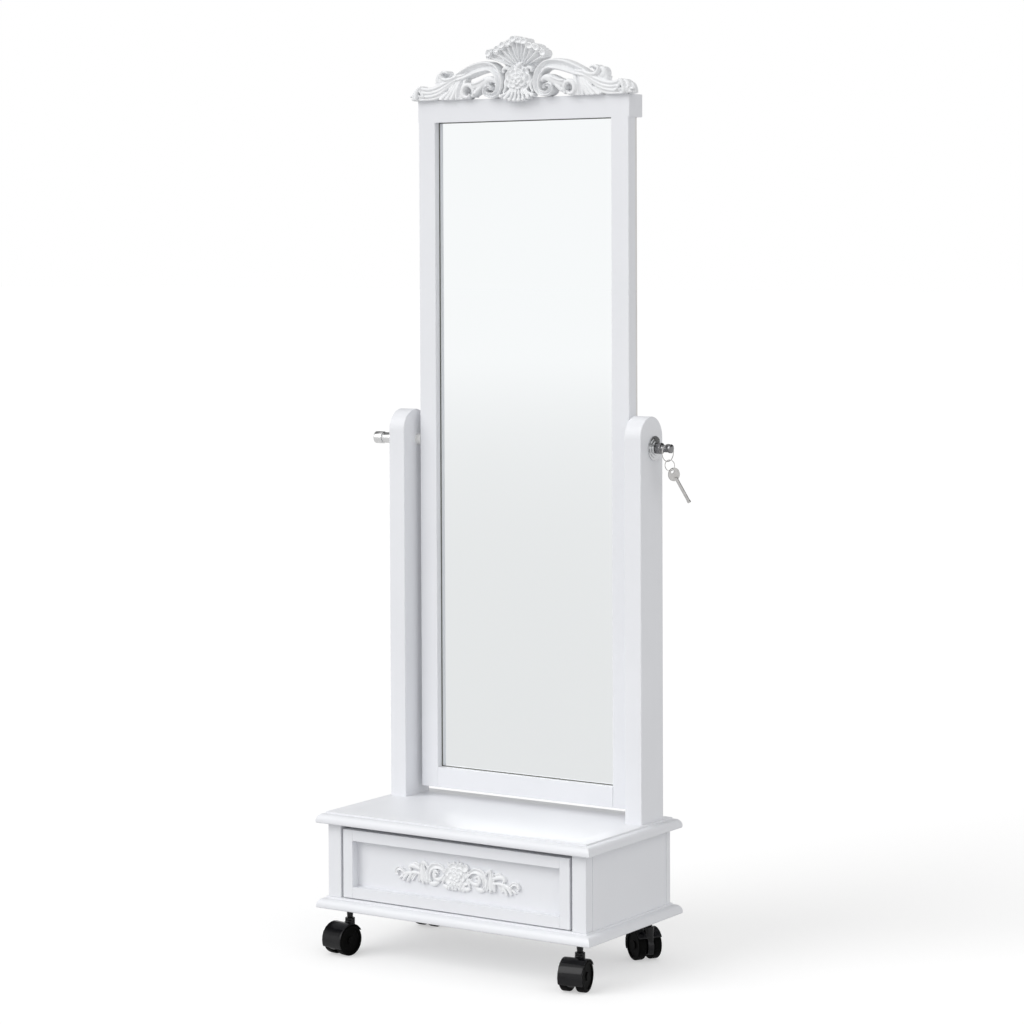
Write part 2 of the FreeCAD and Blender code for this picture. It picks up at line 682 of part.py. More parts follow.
def spray():
    """Right spray: a stem with leaves above and below it in turn, and one at its end."""
    middle = (FIELD_LOW + FIELD_HIGH) / 2
    back = FIELD_FRONT
    front = back - ORNAMENT_THIN
    last = SPRAY_END - SPRAY_LEAF_L
    pieces = [block(0, last + SPRAY_LEAF_W, front, back, middle - STEM_W / 2, middle + STEM_W / 2)]
    pieces.append(leaf(last, middle, 0.0, SPRAY_LEAF_L, SPRAY_LEAF_W, front, back))
    for step in range(SPRAY_LEAVES):
        turn = -SPRAY_LEAF_TURN if step % 2 else SPRAY_LEAF_TURN
        x = SPRAY_START + SPRAY_PITCH * step
        pieces.append(leaf(x, middle, turn, SPRAY_LEAF_L, SPRAY_LEAF_W, front, back))
    return pieces


def drawer_applique():
    """Rose with a leafy spray to each side, applied to the field panel."""
    right = spray()
    return fused(bloom() + right + [mirrored(piece) for piece in right])


# ---- posts and pivots ---------------------------------------------------------------
def pivot_rod(radius, start_x, length):
    """A round bar along the pivot line, towards the right."""
    return rod(radius, Vector(start_x, PIVOT_Y, PIVOT_Z), Vector(1, 0, 0), length)


def is_post_outline(edge):
    """True for an edge of a post's front, top or rear outline."""
    box = edge.BoundBox
    return box.XLength < 0.01 and box.ZMax > BASE_TOP + OVER


def post():
    """Right post: an upright board with a fully round top, bored for the pivot."""
    radius = POST_DEEP / 2
    middle = POST_FRONT + radius
    shoulder = POST_TOP - radius
    low_front = Vector(POST_INNER, POST_FRONT, BASE_TOP)
    high_front = Vector(POST_INNER, POST_FRONT, shoulder)
    top = Vector(POST_INNER, middle, POST_TOP)
    high_back = Vector(POST_INNER, POST_BACK, shoulder)
    low_back = Vector(POST_INNER, POST_BACK, BASE_TOP)
    edges = [
        Part.makeLine(low_front, high_front),
        Part.Arc(high_front, top, high_back).toShape(),
        Part.makeLine(high_back, low_back),
        Part.makeLine(low_back, low_front),
    ]
    board = Part.Face(Part.Wire(edges)).extrude(Vector(POST_T, 0, 0))
    board = rounded(board, POST_EDGE_R, is_post_outline)
    board = board.cut(pivot_rod(BUSHING_R + SCREW_GAP, POST_INNER - OVER, POST_T + 2 * OVER))
    depth = POST_SCREW_LEN - BOARD_T + SCREW_GAP
    for x, y in post_screw_places():
        start = Vector(x, y, BASE_TOP - OVER)
        board = board.cut(rod(POST_SCREW_R + SCREW_GAP, start, Vector(0, 0, 1), depth + OVER))
    return board


def post_screws():
    """Screws driven up through the top board into the posts."""
    screws = []
    up = Vector(0, 0, 1)
    head_low = BODY_HIGH - POST_SCREW_HEAD_H
    for x, y in post_screw_places():
        head = rod(POST_SCREW_HEAD_R, Vector(x, y, head_low), up, POST_SCREW_HEAD_H)
        shank = rod(POST_SCREW_R, Vector(x, y, BODY_HIGH), up, POST_SCREW_LEN - 2 * SCREW_GAP)
        screws.append(head.fuse(shank).removeSplitter())
    return Part.makeCompound(screws)


def sleeve(outer, inner, start_x, length):
    """A tube on the pivot line."""
    return pivot_rod(outer, start_x, length).cut(pivot_rod(inner, start_x, length))


def post_bushings():
    """Bushings that line the posts' pivot bores."""
    return pair(sleeve(BUSHING_R, STUD_R + RUN_GAP, POST_INNER, POST_T))


def pivot_spacers():
    """White spacers between each post and the mirror frame."""
    start = FRAME_HALF + SIDE_PLAY
    return pair(sleeve(SPACER_R, STUD_R + RUN_GAP, start, SPACER_LEN))


def pivot_inserts():
    """Threaded inserts in the mirror frame's stiles."""
    return pair(sleeve(INSERT_R, STUD_R + RUN_GAP, FRAME_HALF - INSERT_LEN, INSERT_LEN))


def escutcheon():
    """Right rose plate: stepped rings round the pivot."""
    rings = []
    for step in range(ROSE_STEPS):
        radius = ROSE_R - step * ROSE_STEP_IN
        rings.append(pivot_rod(radius, POST_OUTER, ROSE_STEP_T * (step + 1)))
    bore = pivot_rod(STUD_R + RUN_GAP, POST_OUTER - OVER, ROSE_STEPS * ROSE_STEP_T + 2 * OVER)
    return fused(rings).cut(bore)


def stud_socket(depth):
    """Blind hole in a knob for its stud."""
    return pivot_rod(STUD_R + SCREW_GAP, KNOB_FACE - OVER, depth + OVER)


def pivot_stud(depth):
    """Right stud, from the frame's insert into the knob."""
    start = FRAME_HALF - INSERT_LEN + BORE_END_GAP
    return pivot_rod(STUD_R, start, KNOB_FACE + depth - start)


def knob_right():
    """Right knob: hub, slim neck and end cap."""
    hub = pivot_rod(KNOB_HUB_R, KNOB_FACE, RIGHT_HUB_LEN)
    neck_start = KNOB_FACE + RIGHT_HUB_LEN
    neck = pivot_rod(NECK_R, neck_start - OVER, NECK_LEN + 2 * OVER)
    cap_start = neck_start + NECK_LEN
    cap = pivot_rod(CAP_R, cap_start, CAP_LEN)
    cap = rounded(cap, CAP_EDGE_R, lambda edge: edge.BoundBox.XMin > cap_start + OVER)
    return fused([hub, neck, cap]).cut(stud_socket(RIGHT_SOCKET))


def knob_left():
    """Left knob: long barrel, groove and rounded cap, drawn on the right and mirrored."""
    groove_start = KNOB_FACE + LEFT_BARREL_LEN
    cap_start = groove_start + LEFT_GROOVE_LEN
    barrel = pivot_rod(KNOB_HUB_R, KNOB_FACE, LEFT_BARREL_LEN)
    groove = pivot_rod(LEFT_GROOVE_R, groove_start - OVER, LEFT_GROOVE_LEN + 2 * OVER)
    cap = pivot_rod(LEFT_CAP_R, cap_start, LEFT_CAP_LEN)
    cap = rounded(cap, CAP_EDGE_R, lambda edge: edge.BoundBox.XLength < 0.01)
    return mirrored(fused([barrel, groove, cap]).cut(stud_socket(LEFT_SOCKET)))


# ---- keys ---------------------------------------------------------------------------
def level_direction(turn):
    """A level direction, in degrees from +X towards +Y."""
    return Vector(math.cos(math.radians(turn)), math.sin(math.radians(turn)), 0)


def large_ring_centre():
    """The large ring hangs on the knob's neck."""
    top = PIVOT_Z + NECK_R + LOOP_GAP + WIRE_R
    return Vector(RING_X, PIVOT_Y, top - LARGE_RING_R)


def small_ring_centre():
    """The small ring hangs in the large one and leans outwards."""
    lean = math.radians(SMALL_RING_LEAN)
    wire = large_ring_centre() - Vector(0, 0, LARGE_RING_R)
    hang = SMALL_RING_R - 2 * WIRE_R - LOOP_GAP
    return wire + Vector(math.sin(lean), 0, -math.cos(lean)) * hang


def key_axis():
    """Unit direction from the key's bow to its tip."""
    lean = math.radians(KEY_LEAN)
    return level_direction(KEY_TURN) * math.sin(lean) + Vector(0, 0, -math.cos(lean))


def key_hole_centre():
    """Centre of the hole in the key's bow, on the small ring's wire."""
    along = math.radians(KEY_ON_RING)
    wire = small_ring_centre() + Vector(math.sin(along), 0, -math.cos(along)) * SMALL_RING_R
    return wire + key_axis() * (BOW_HOLE_R - WIRE_R - BOW_LOOP_GAP)


def loop(centre, normal, radius):
    """A closed wire ring."""
    return Part.makeTorus(radius, WIRE_R, centre, normal)


def large_ring():
    """The ring on the knob's neck."""
    return loop(large_ring_centre(), level_direction(LARGE_RING_TURN - 90.0), LARGE_RING_R)


def key():
    """Flat round bow with a hole, and a round hollow shank."""
    side = level_direction(KEY_TURN + 90.0)
    hole = key_hole_centre()
    bow_centre = hole + key_axis() * (BOW_R - BOW_HOLE_R - BOW_RIM)
    bow = rod(BOW_R, bow_centre - side * (BOW_T / 2), side, BOW_T)
    shank_start = bow_centre + key_axis() * (BOW_R - SHANK_ROOT)
    shank = rod(SHANK_R, shank_start, key_axis(), SHANK_LEN)
    end_start = shank_start + key_axis() * (SHANK_LEN - SHANK_END_LEN)
    end = rod(SHANK_END_R, end_start, key_axis(), SHANK_END_LEN)
    bore_start = shank_start + key_axis() * (SHANK_LEN - SHANK_BORE_DEEP)
    whole = fused([bow, shank, end])
    whole = whole.cut(rod(SHANK_BORE_R, bore_start, key_axis(), SHANK_BORE_DEEP + OVER))
    return whole.cut(rod(BOW_HOLE_R, hole - side * BOW_T, side, 2 * BOW_T))


# ---- mirror -------------------------------------------------------------------------
def glass_rebate():
    """The space for glass and packing behind the frame's lip."""
    return block(
        -SIGHT_HALF - REBATE, SIGHT_HALF + REBATE, GLASS_FRONT, FRAME_BACK,
        SIGHT_LOW - REBATE, SIGHT_HIGH + REBATE,
    )


def is_front_arris(edge):
    """True for an upright edge at the mirror frame's front."""
    return is_vertical(edge) and edge.BoundBox.YMax < FRAME_BACK - OVER


def mirror_stile():
    """Right stile of the mirror frame."""
    stile = block(SIGHT_HALF, FRAME_HALF, FRAME_FRONT, FRAME_BACK, FRAME_LOW, SIGHT_HIGH)
    stile = rounded(stile, FRAME_EDGE_R, is_front_arris)
    stile = stile.cut(glass_rebate())
    stile = stile.cut(pivot_rod(INSERT_R + SCREW_GAP, FRAME_HALF - INSERT_LEN, INSERT_LEN + OVER))
    return cut_screw_holes(stile)


def head_rail():
    """Head rail: as wide as the frame and a little more, and deeper to the rear."""
    half = FRAME_HALF + HEAD_RAIL_OUT
    rail = block(-half, half, FRAME_FRONT, FRAME_FRONT + HEAD_RAIL_DEEP, SIGHT_HIGH, FRAME_HIGH)
    rail = rounded(rail, FRAME_EDGE_R, is_vertical)
    return rail.cut(glass_rebate())


def bottom_rail():
    """Bottom rail between the stiles."""
    rail = block(-SIGHT_HALF, SIGHT_HALF, FRAME_FRONT, FRAME_BACK, FRAME_LOW, SIGHT_LOW)
    return cut_screw_holes(rail.cut(glass_rebate()))


def mirror_sheet(y0, thickness):
    """A sheet that fills the rebate."""
    half = SIGHT_HALF + REBATE - REBATE_GAP
    low = SIGHT_LOW - REBATE + REBATE_GAP
    return block(-half, half, y0, y0 + thickness, low, SIGHT_HIGH + REBATE - REBATE_GAP)


def backing_screw_places():
    """Screw centres round the backing board."""
    side = FRAME_HALF - BACKING_SCREW_IN
    low = FRAME_LOW + BACKING_SCREW_IN
    pitch = (SIGHT_HIGH - BACKING_SCREW_TOP - low) / (BACKING_SCREW_ROWS - 1)
    places = [(x, low + pitch * row) for x in (-side, side) for row in range(BACKING_SCREW_ROWS)]
    return places + [(0.0, low)]


def cut_screw_holes(piece):
    """Pilot holes for the backing screws."""
    depth = BACKING_SCREW_LEN - BACKING_T + SCREW_GAP
    radius = BACKING_SCREW_R + SCREW_GAP
    for x, z in backing_screw_places():
        piece = piece.cut(rod(radius, Vector(x, FRAME_BACK - depth, z), Vector(0, 1, 0), depth + OVER))
    return piece


def mirror_backing_board():
    """Backing board over the whole back, under the head rail."""
    half = FRAME_HALF - BACKING_IN
    top = SIGHT_HIGH - BACKING_TOP_GAP
    board = block(-half, half, FRAME_BACK, FRAME_BACK + BACKING_T, FRAME_LOW + BACKING_IN, top)
    radius = BACKING_SCREW_R + SCREW_GAP
    for x, z in backing_screw_places():
        start = Vector(x, FRAME_BACK - OVER, z)
        board = board.cut(rod(radius, start, Vector(0, 1, 0), BACKING_T + 2 * OVER))
    return board


def backing_screws():
    """Pan-head screws that hold the backing board."""
    screws = []
    back = FRAME_BACK + BACKING_T
    for x, z in backing_screw_places():
        head = rod(BACKING_SCREW_HEAD_R, Vector(x, back, z), Vector(0, 1, 0), BACKING_SCREW_HEAD_H)
        start = Vector(x, back - BACKING_SCREW_LEN, z)
        shank = rod(BACKING_SCREW_R, start, Vector(0, 1, 0), BACKING_SCREW_LEN + BACKING_SCREW_HEAD_H / 2)
        screws.append(head.fuse(shank).removeSplitter())
    return Part.makeCompound(screws)


# ---- casters ------------------------------------------------------------------------
def placed(shape, x, y, turn):
    """Turn a caster part about its stem and set it under the base."""
    moved = shape.copy()
    moved.rotate(Vector(0, 0, 0), Vector(0, 0, 1), turn)
    moved.translate(Vector(x, y, 0))
    return moved


def across_rod(radius, start, length):
    """A round bar along the axle line of a caster drawn with its trail along +X."""
    return rod(radius, Vector(TRAIL, start, AXLE_Z), Vector(0, 1, 0), length)


def hood_shell():
    """Curved fender over both wheels."""
    inner = HOOD_R - HOOD_T
    points = []
    for radius in (HOOD_R, inner):
        for angle in (HOOD_FRONT_ANGLE, (HOOD_FRONT_ANGLE + HOOD_BACK_ANGLE) / 2, HOOD_BACK_ANGLE):
            turn = math.radians(angle)
            x = TRAIL + radius * math.cos(turn)
            points.append(Vector(x, -HOOD_HALF, AXLE_Z + radius * math.sin(turn)))
    edges = [
        Part.Arc(points[0], points[1], points[2]).toShape(),
        Part.makeLine(points[2], points[5]),
        Part.Arc(points[5], points[4], points[3]).toShape(),
        Part.makeLine(points[3], points[0]),
    ]
    return Part.Face(Part.Wire(edges)).extrude(Vector(0, 2 * HOOD_HALF, 0))


def wheel_space():
    """The room under the hood on both sides of the web."""
    inner = HOOD_R - HOOD_T
    return across_rod(inner, -HOOD_HALF, 2 * HOOD_HALF).cut(across_rod(inner, -WEB_HALF, 2 * WEB_HALF))


def caster_housing():
    """Hood, middle web and collar in one piece, bored for the stem pin, with the axle through it."""
    up = Vector(0, 0, 1)
    web = across_rod(HOOD_R - HOOD_T / 2, -WEB_HALF, 2 * WEB_HALF)
    low = AXLE_Z - WEB_DROP
    web = web.common(block(-HOOD_R, TRAIL + HOOD_R, -WEB_HALF, WEB_HALF, low, COLLAR_TOP))
    collar_low = PIN_LOW - PIN_FLOOR
    collar = rod(COLLAR_R, Vector(0, 0, collar_low), up, COLLAR_TOP - collar_low)
    body = fused([web, collar.cut(wheel_space()), hood_shell()])
    body = body.cut(rod(CASTER_PIN_R + RUN_GAP, Vector(0, 0, PIN_LOW - BORE_END_GAP), up, COLLAR_TOP))
    body = body.cut(across_rod(AXLE_R + RUN_GAP, -HOOD_HALF, 2 * HOOD_HALF))
    return Part.makeCompound([body, across_rod(AXLE_R, -AXLE_HALF, 2 * AXLE_HALF)])


def caster_wheel(side):
    """One wheel: rounded tread, dished outer face, blind bore for the axle."""
    start = WHEEL_IN if side > 0 else -WHEEL_IN - WHEEL_W
    wheel = across_rod(WHEEL_R, start, WHEEL_W)
    wheel = rounded(wheel, WHEEL_EDGE_R, lambda edge: edge.BoundBox.YLength < 0.01)
    face = start + WHEEL_W - WHEEL_DISH if side > 0 else start
    dish = across_rod(WHEEL_R - WHEEL_RIM, face, WHEEL_DISH)
    dish = dish.cut(across_rod(WHEEL_CAP_R, face, WHEEL_DISH))
    bore_len = WHEEL_W - WHEEL_CAP_T
    bore_start = start if side > 0 else start + WHEEL_CAP_T
    return wheel.cut(dish).cut(across_rod(AXLE_R + RUN_GAP, bore_start, bore_len))


def caster_stem():
    """Stem pin with its tapered shoulder, drawn at the origin."""
    up = Vector(0, 0, 1)
    low = COLLAR_TOP + SIDE_PLAY
    pin = rod(CASTER_PIN_R, Vector(0, 0, PIN_LOW), up, BOARD_UNDERSIDE + PIN_UP - PIN_LOW)
    shoulder = Part.makeCone(STEM_LOW_R, STEM_TOP_R, BOARD_UNDERSIDE - low, Vector(0, 0, low), up)
    return pin.fuse(shoulder).removeSplitter()


def caster_sleeve():
    """Sleeve in the bottom board that grips a stem pin, drawn at the origin."""
    start = Vector(0, 0, BOARD_UNDERSIDE)
    up = Vector(0, 0, 1)
    tube = rod(SLEEVE_R, start, up, SLEEVE_LEN - SCREW_GAP)
    return tube.cut(rod(CASTER_PIN_R + SCREW_GAP, start, up, SLEEVE_LEN))


def four_times(shape):
    """The same piece over each caster place."""
    return Part.makeCompound([placed(shape, x, y, turn) for name, x, y, turn in CASTER_PLACES])


# ---- nodes --------------------------------------------------------------------------
def all_nodes():
    """Every named piece of the object."""
    nodes = {
        "base_top_board": base_top_board(),
        "base_bottom_board": base_bottom_board(),
        "front_stile_right": front_stile(),
        "front_stile_left": mirrored(front_stile()),
        "side_panel_right": side_panel(),
        "side_panel_left": mirrored(side_panel()),
        "back_panel": back_panel(),
        "drawer_runner_right": drawer_runner(),
        "drawer_runner_left": mirrored(drawer_runner()),
        "post_right": post(),
        "post_left": mirrored(post()),
        "post_screws": post_screws(),
        "post_bushings": post_bushings(),
        "pivot_spacers": pivot_spacers(),
        "escutcheon_right": escutcheon(),
        "escutcheon_left": mirrored(escutcheon()),
        "caster_sleeves": four_times(caster_sleeve()),
        "caster_stems": four_times(caster_stem()),
        "drawer_stile_right": drawer_stile(),
        "drawer_stile_left": mirrored(drawer_stile()),
        "drawer_rail_bottom": drawer_rail(FRONT_LOW),
        "drawer_rail_top": drawer_rail(FIELD_HIGH),
        "drawer_field_panel": field_panel(),
        "drawer_applique": drawer_applique(),
        "drawer_side_right": box_side(),
        "drawer_side_left": mirrored(box_side()),
        "drawer_back": box_back(),
        "drawer_bottom": box_bottom(),
        "drawer_lining": drawer_lining(),
        "mirror_stile_right": mirror_stile(),
        "mirror_stile_left": mirrored(mirror_stile()),
        "mirror_head_rail": head_rail(),
        "mirror_bottom_rail": bottom_rail(),
        "mirror_glass": mirror_sheet(GLASS_FRONT, GLASS_T),
        "mirror_packing": mirror_sheet(GLASS_FRONT + GLASS_T, FRAME_T - GLASS_BACK - GLASS_T),
        "mirror_backing_board": mirror_backing_board(),
        "backing_screws": backing_screws(),
        "pivot_inserts": pivot_inserts(),
        "crown_carving": crown_carving(),
        "knob_right": knob_right(),
        "pivot_stud_right": pivot_stud(RIGHT_SOCKET - BORE_END_GAP),
        "knob_left": knob_left(),
        "pivot_stud_left": mirrored(pivot_stud(LEFT_SOCKET - BORE_END_GAP)),
        "key_ring_large": large_ring(),
        "key_ring_small": loop(small_ring_centre(), Vector(0, 1, 0), SMALL_RING_R),
        "key": key(),
    }
    for name, x, y, turn in CASTER_PLACES:
        nodes["caster_" + name + "_housing"] = placed(caster_housing(), x, y, turn)
        nodes["caster_" + name + "_wheel_left"] = placed(caster_wheel(1), x, y, turn)
        nodes["caster_" + name + "_wheel_right"] = placed(caster_wheel(-1), x, y, turn)
    return nodes


os.makedirs("parts", exist_ok=True)
for node, shape in all_nodes().items():
    shape.exportStep("parts/" + node + ".step")
    print(node, len(shape.Solids), "solids,", round(shape.Volume), "mm3")
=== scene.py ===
# %% [markdown]
# # A cheval mirror on a rolling jewellery base
# The real object is a tall mirror that tips between two posts. The posts stand on a low
# white base with one drawer, and the base rolls on four twin-wheel casters. This file takes
# the measured model as a fixed frame and gives every visible part its finish. The carved and
# turned parts are drawn again here as finer surfaces that ride on the same bodies.

# %% Load the frame
import math
import bpy
import numpy as np
from mathutils import Matrix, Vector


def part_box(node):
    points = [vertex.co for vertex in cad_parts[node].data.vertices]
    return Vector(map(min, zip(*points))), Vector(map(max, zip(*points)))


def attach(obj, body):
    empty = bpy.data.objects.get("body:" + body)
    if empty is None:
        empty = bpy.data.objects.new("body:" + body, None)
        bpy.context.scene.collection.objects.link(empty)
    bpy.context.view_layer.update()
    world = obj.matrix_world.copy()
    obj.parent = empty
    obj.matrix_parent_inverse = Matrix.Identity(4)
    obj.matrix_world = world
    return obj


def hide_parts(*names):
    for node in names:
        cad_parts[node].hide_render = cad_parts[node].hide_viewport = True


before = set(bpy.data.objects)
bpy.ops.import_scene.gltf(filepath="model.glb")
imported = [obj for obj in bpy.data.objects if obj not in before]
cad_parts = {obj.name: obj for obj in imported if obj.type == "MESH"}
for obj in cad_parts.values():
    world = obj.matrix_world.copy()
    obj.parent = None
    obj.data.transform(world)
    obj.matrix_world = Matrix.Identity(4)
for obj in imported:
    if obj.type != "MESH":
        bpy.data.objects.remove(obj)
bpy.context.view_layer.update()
MM = 0.001

# %% [markdown]
# The photograph was taken from the right, from about as high as the frame is, with a long
# lens. The camera is placed first, because everything else is judged through it. The lens
# shift stands for the crop, which leaves more room under the mirror than over it.

# %% The camera
CAMERA_AT = np.array([2.56345, -3.82495, 1.11486])
TURN, TILT, LEAN = math.radians(33.52), math.radians(-1.823), math.radians(0.224)
ahead = np.array([-math.sin(TURN) * math.cos(TILT), math.cos(TURN) * math.cos(TILT), math.sin(TILT)])
level = np.array([math.cos(TURN), math.sin(TURN), 0.0])
above = np.cross(level, ahead)
side_axis = level * math.cos(LEAN) - above * math.sin(LEAN)
top_axis = level * math.sin(LEAN) + above * math.cos(LEAN)

lens = bpy.data.cameras.new("camera")
PICTURE_SIDE, FOCAL_PIXELS, CROP_PIXELS = 1024, 2950.8, 171.4
lens.sensor_width = 36.0
lens.lens = FOCAL_PIXELS / PICTURE_SIDE * lens.sensor_width
lens.shift_y = -CROP_PIXELS / PICTURE_SIDE
lens.clip_end = 100.0
camera = bpy.data.objects.new("camera", lens)
bpy.context.scene.collection.objects.link(camera)
pose = np.eye(4)
pose[:3, 0], pose[:3, 1], pose[:3, 2], pose[:3, 3] = side_axis, top_axis, -ahead, CAMERA_AT
camera.matrix_world = Matrix(pose.tolist())
bpy.context.scene.camera = camera
print("lens", round(lens.lens, 2), "mm")

# %% [markdown]
# A studio picture of white furniture needs light that is soft and nearly even, or the white
# turns to grey and black. A pale world gives the even part. One very soft sun from the front
# left makes the right-hand sides a little darker than the fronts, and a weak one from the
# right opens them again. Suns light the whole floor alike, so it has no bright spot. The
# camera sees the world as plain white. Shiny things see a room: white walls to the front, a
# dark ceiling with a lamp over the middle, and a grey end behind the stand on the right,
# because plated parts look like metal only when they have something dark to reflect.

# %% The light
scene = bpy.context.scene
scene.view_settings.view_transform = "Standard"
WORLD_LEVEL = 0.6                # how bright the world is for matt surfaces
GREY_END = (0.55, 0.83, 0.0)     # towards the grey end of the room


def link(tree, start, output, end, entry):
    """Join an output of one node to an input of another."""
    tree.links.new(start.outputs[output], end.inputs[entry])


def math_node(tree, operation, *values):
    """A Math node whose inputs are numbers or (node, output) pairs; gives its own pair back."""
    node = tree.nodes.new("ShaderNodeMath")
    node.operation = operation
    for place, value in enumerate(values):
        if isinstance(value, tuple):
            link(tree, *value, node, place)
        else:
            node.inputs[place].default_value = value
    return node, 0


def fade(tree, source, output, start, stop, first, last):
    """A smooth change from first to last while the value goes from start to stop."""
    node = tree.nodes.new("ShaderNodeMapRange")
    node.interpolation_type = "SMOOTHSTEP"
    for title, value in (("From Min", start), ("From Max", stop), ("To Min", first), ("To Max", last)):
        node.inputs[title].default_value = value
    link(tree, source, output, node, "Value")
    return node, "Result"


world = bpy.data.worlds.new("studio")
world.use_nodes = True
scene.world = world
sky = world.node_tree
sky.nodes.clear()
way = sky.nodes.new("ShaderNodeTexCoord")
split = sky.nodes.new("ShaderNodeSeparateXYZ")
link(sky, way, "Generated", split, "Vector")
aside = sky.nodes.new("ShaderNodeVectorMath")
aside.operation = "DOT_PRODUCT"
aside.inputs[1].default_value = GREY_END
link(sky, way, "Generated", aside, 0)
ceiling = fade(sky, split, "Z", 0.22, 0.42, 1.0, 0.06)
top_lamp = fade(sky, split, "Z", 0.78, 0.86, 0.0, 1.0)
far_end = fade(sky, aside, "Value", 0.45, 0.9, 1.0, 0.16)
room = math_node(sky, "MAXIMUM", math_node(sky, "MULTIPLY", ceiling, far_end), top_lamp)

seen = sky.nodes.new("ShaderNodeLightPath")
mirrored = math_node(sky, "MAXIMUM", (seen, "Is Glossy Ray"), (seen, "Is Transmission Ray"))
direct = math_node(sky, "MAXIMUM", (seen, "Is Camera Ray"), mirrored)
matt = math_node(sky, "SUBTRACT", 1.0, direct)
matt_level = math_node(sky, "MULTIPLY_ADD", matt, WORLD_LEVEL - 1.0, 1.0)
plain = math_node(sky, "MAXIMUM", (seen, "Is Camera Ray"), matt)
strength = math_node(sky, "MULTIPLY", matt_level, math_node(sky, "MAXIMUM", plain, room))
glow = sky.nodes.new("ShaderNodeBackground")
glow.inputs["Color"].default_value = (1.0, 1.0, 1.0, 1.0)
out = sky.nodes.new("ShaderNodeOutputWorld")
link(sky, *strength, glow, "Strength")
link(sky, glow, "Background", out, "Surface")


def sun(name, towards, strength, softness):
    """A soft sun: its light comes from the direction given, spread over an angle in degrees."""
    data = bpy.data.lights.new(name, "SUN")
    data.energy, data.angle = strength, math.radians(softness)
    made = bpy.data.objects.new(name, data)
    scene.collection.objects.link(made)
    back = np.array(towards, float) / np.linalg.norm(towards)
    right = np.cross([0.0, 0.0, 1.0], back)
    right = right / np.linalg.norm(right)
    turned = np.eye(4)
    turned[:3, 0], turned[:3, 1], turned[:3, 2] = right, np.cross(back, right), back
    made.matrix_world = Matrix(turned.tolist())
    return made


sun("key", (-0.42, -0.70, 0.58), 1.45, 45.0)
sun("fill", (0.86, -0.24, 0.44), 0.52, 70.0)

# %% [markdown]
# The floor is plain and pale, and runs far behind the object. Seen by the camera or in the
# mirror it has some glow of its own, so that it reads as white paper while the soft shadow
# under the base stays. In the mirror the paper near the stand is a little darker than the
# far paper, as in any studio, and a ramp on the distance from the middle gives that.

# %% The floor
FLOOR_HALF = 60.0
FLOOR_GLOW = 0.46
floor_mesh = bpy.data.meshes.new("floor")
floor_mesh.from_pydata(
    [(-FLOOR_HALF, -FLOOR_HALF, 0), (FLOOR_HALF, -FLOOR_HALF, 0), (FLOOR_HALF, FLOOR_HALF, 0),
     (-FLOOR_HALF, FLOOR_HALF, 0)], [], [(0, 1, 2, 3)])
floor = bpy.data.objects.new("floor", floor_mesh)
scene.collection.objects.link(floor)
paper = bpy.data.materials.new("paper_floor")
paper.use_nodes = True
tree = paper.node_tree
body = tree.nodes["Principled BSDF"]
body.inputs["Base Color"].default_value = (0.6, 0.6, 0.6, 1.0)
body.inputs["Roughness"].default_value = 1.0
body.inputs["Specular IOR Level"].default_value = 0.0
ray = tree.nodes.new("ShaderNodeLightPath")
place = tree.nodes.new("ShaderNodeTexCoord")
distance = tree.nodes.new("ShaderNodeVectorMath")
distance.operation = "LENGTH"
link(tree, place, "Object", distance, 0)
mirrored_glow = fade(tree, distance, "Value", 0.5, 26.0, 0.27, 0.435)
total = math_node(tree, "MAXIMUM", math_node(tree, "MULTIPLY", (ray, "Is Camera Ray"), FLOOR_GLOW),
                  math_node(tree, "MULTIPLY", (ray, "Is Glossy Ray"), mirrored_glow))
body.inputs["Emission Color"].default_value = (1.0, 1.0, 1.0, 1.0)
link(tree, *total, body, "Emission Strength")
floor_mesh.materials.append(paper)

# %% [markdown]
# No real surface is one flat value. Paint lies in a thin film with a faint orange peel, and
# metal and wood show fine lines along the way they were worked. Both effects are needed in
# several finishes, so each is a node group with its own sizes as inputs.

# %% Shared surface effects
def new_group(name, entries, results):
    """An empty shader group with named number inputs and outputs."""
    group = bpy.data.node_groups.new(name, "ShaderNodeTree")
    for title, value in entries:
        socket = group.interface.new_socket(title, in_out="INPUT", socket_type="NodeSocketFloat")
        socket.default_value = value
    for title in results:
        group.interface.new_socket(title, in_out="OUTPUT", socket_type="NodeSocketFloat")
    return group, group.nodes.new("NodeGroupInput"), group.nodes.new("NodeGroupOutput")


def mottle_group():
    """Two sizes of cloudy noise, one for slow changes of tone and one for a fine skin."""
    group, given, result = new_group(
        "film", [("Cloud Scale", 6.0), ("Skin Scale", 900.0)], ["Cloud", "Skin"])
    place = group.nodes.new("ShaderNodeTexCoord")
    for title, detail in (("Cloud", 3.0), ("Skin", 2.0)):
        noise = group.nodes.new("ShaderNodeTexNoise")
        noise.inputs["Detail"].default_value = detail
        link(group, place, "Object", noise, "Vector")
        link(group, given, title + " Scale", noise, "Scale")
        link(group, noise, "Fac", result, title)
    return group


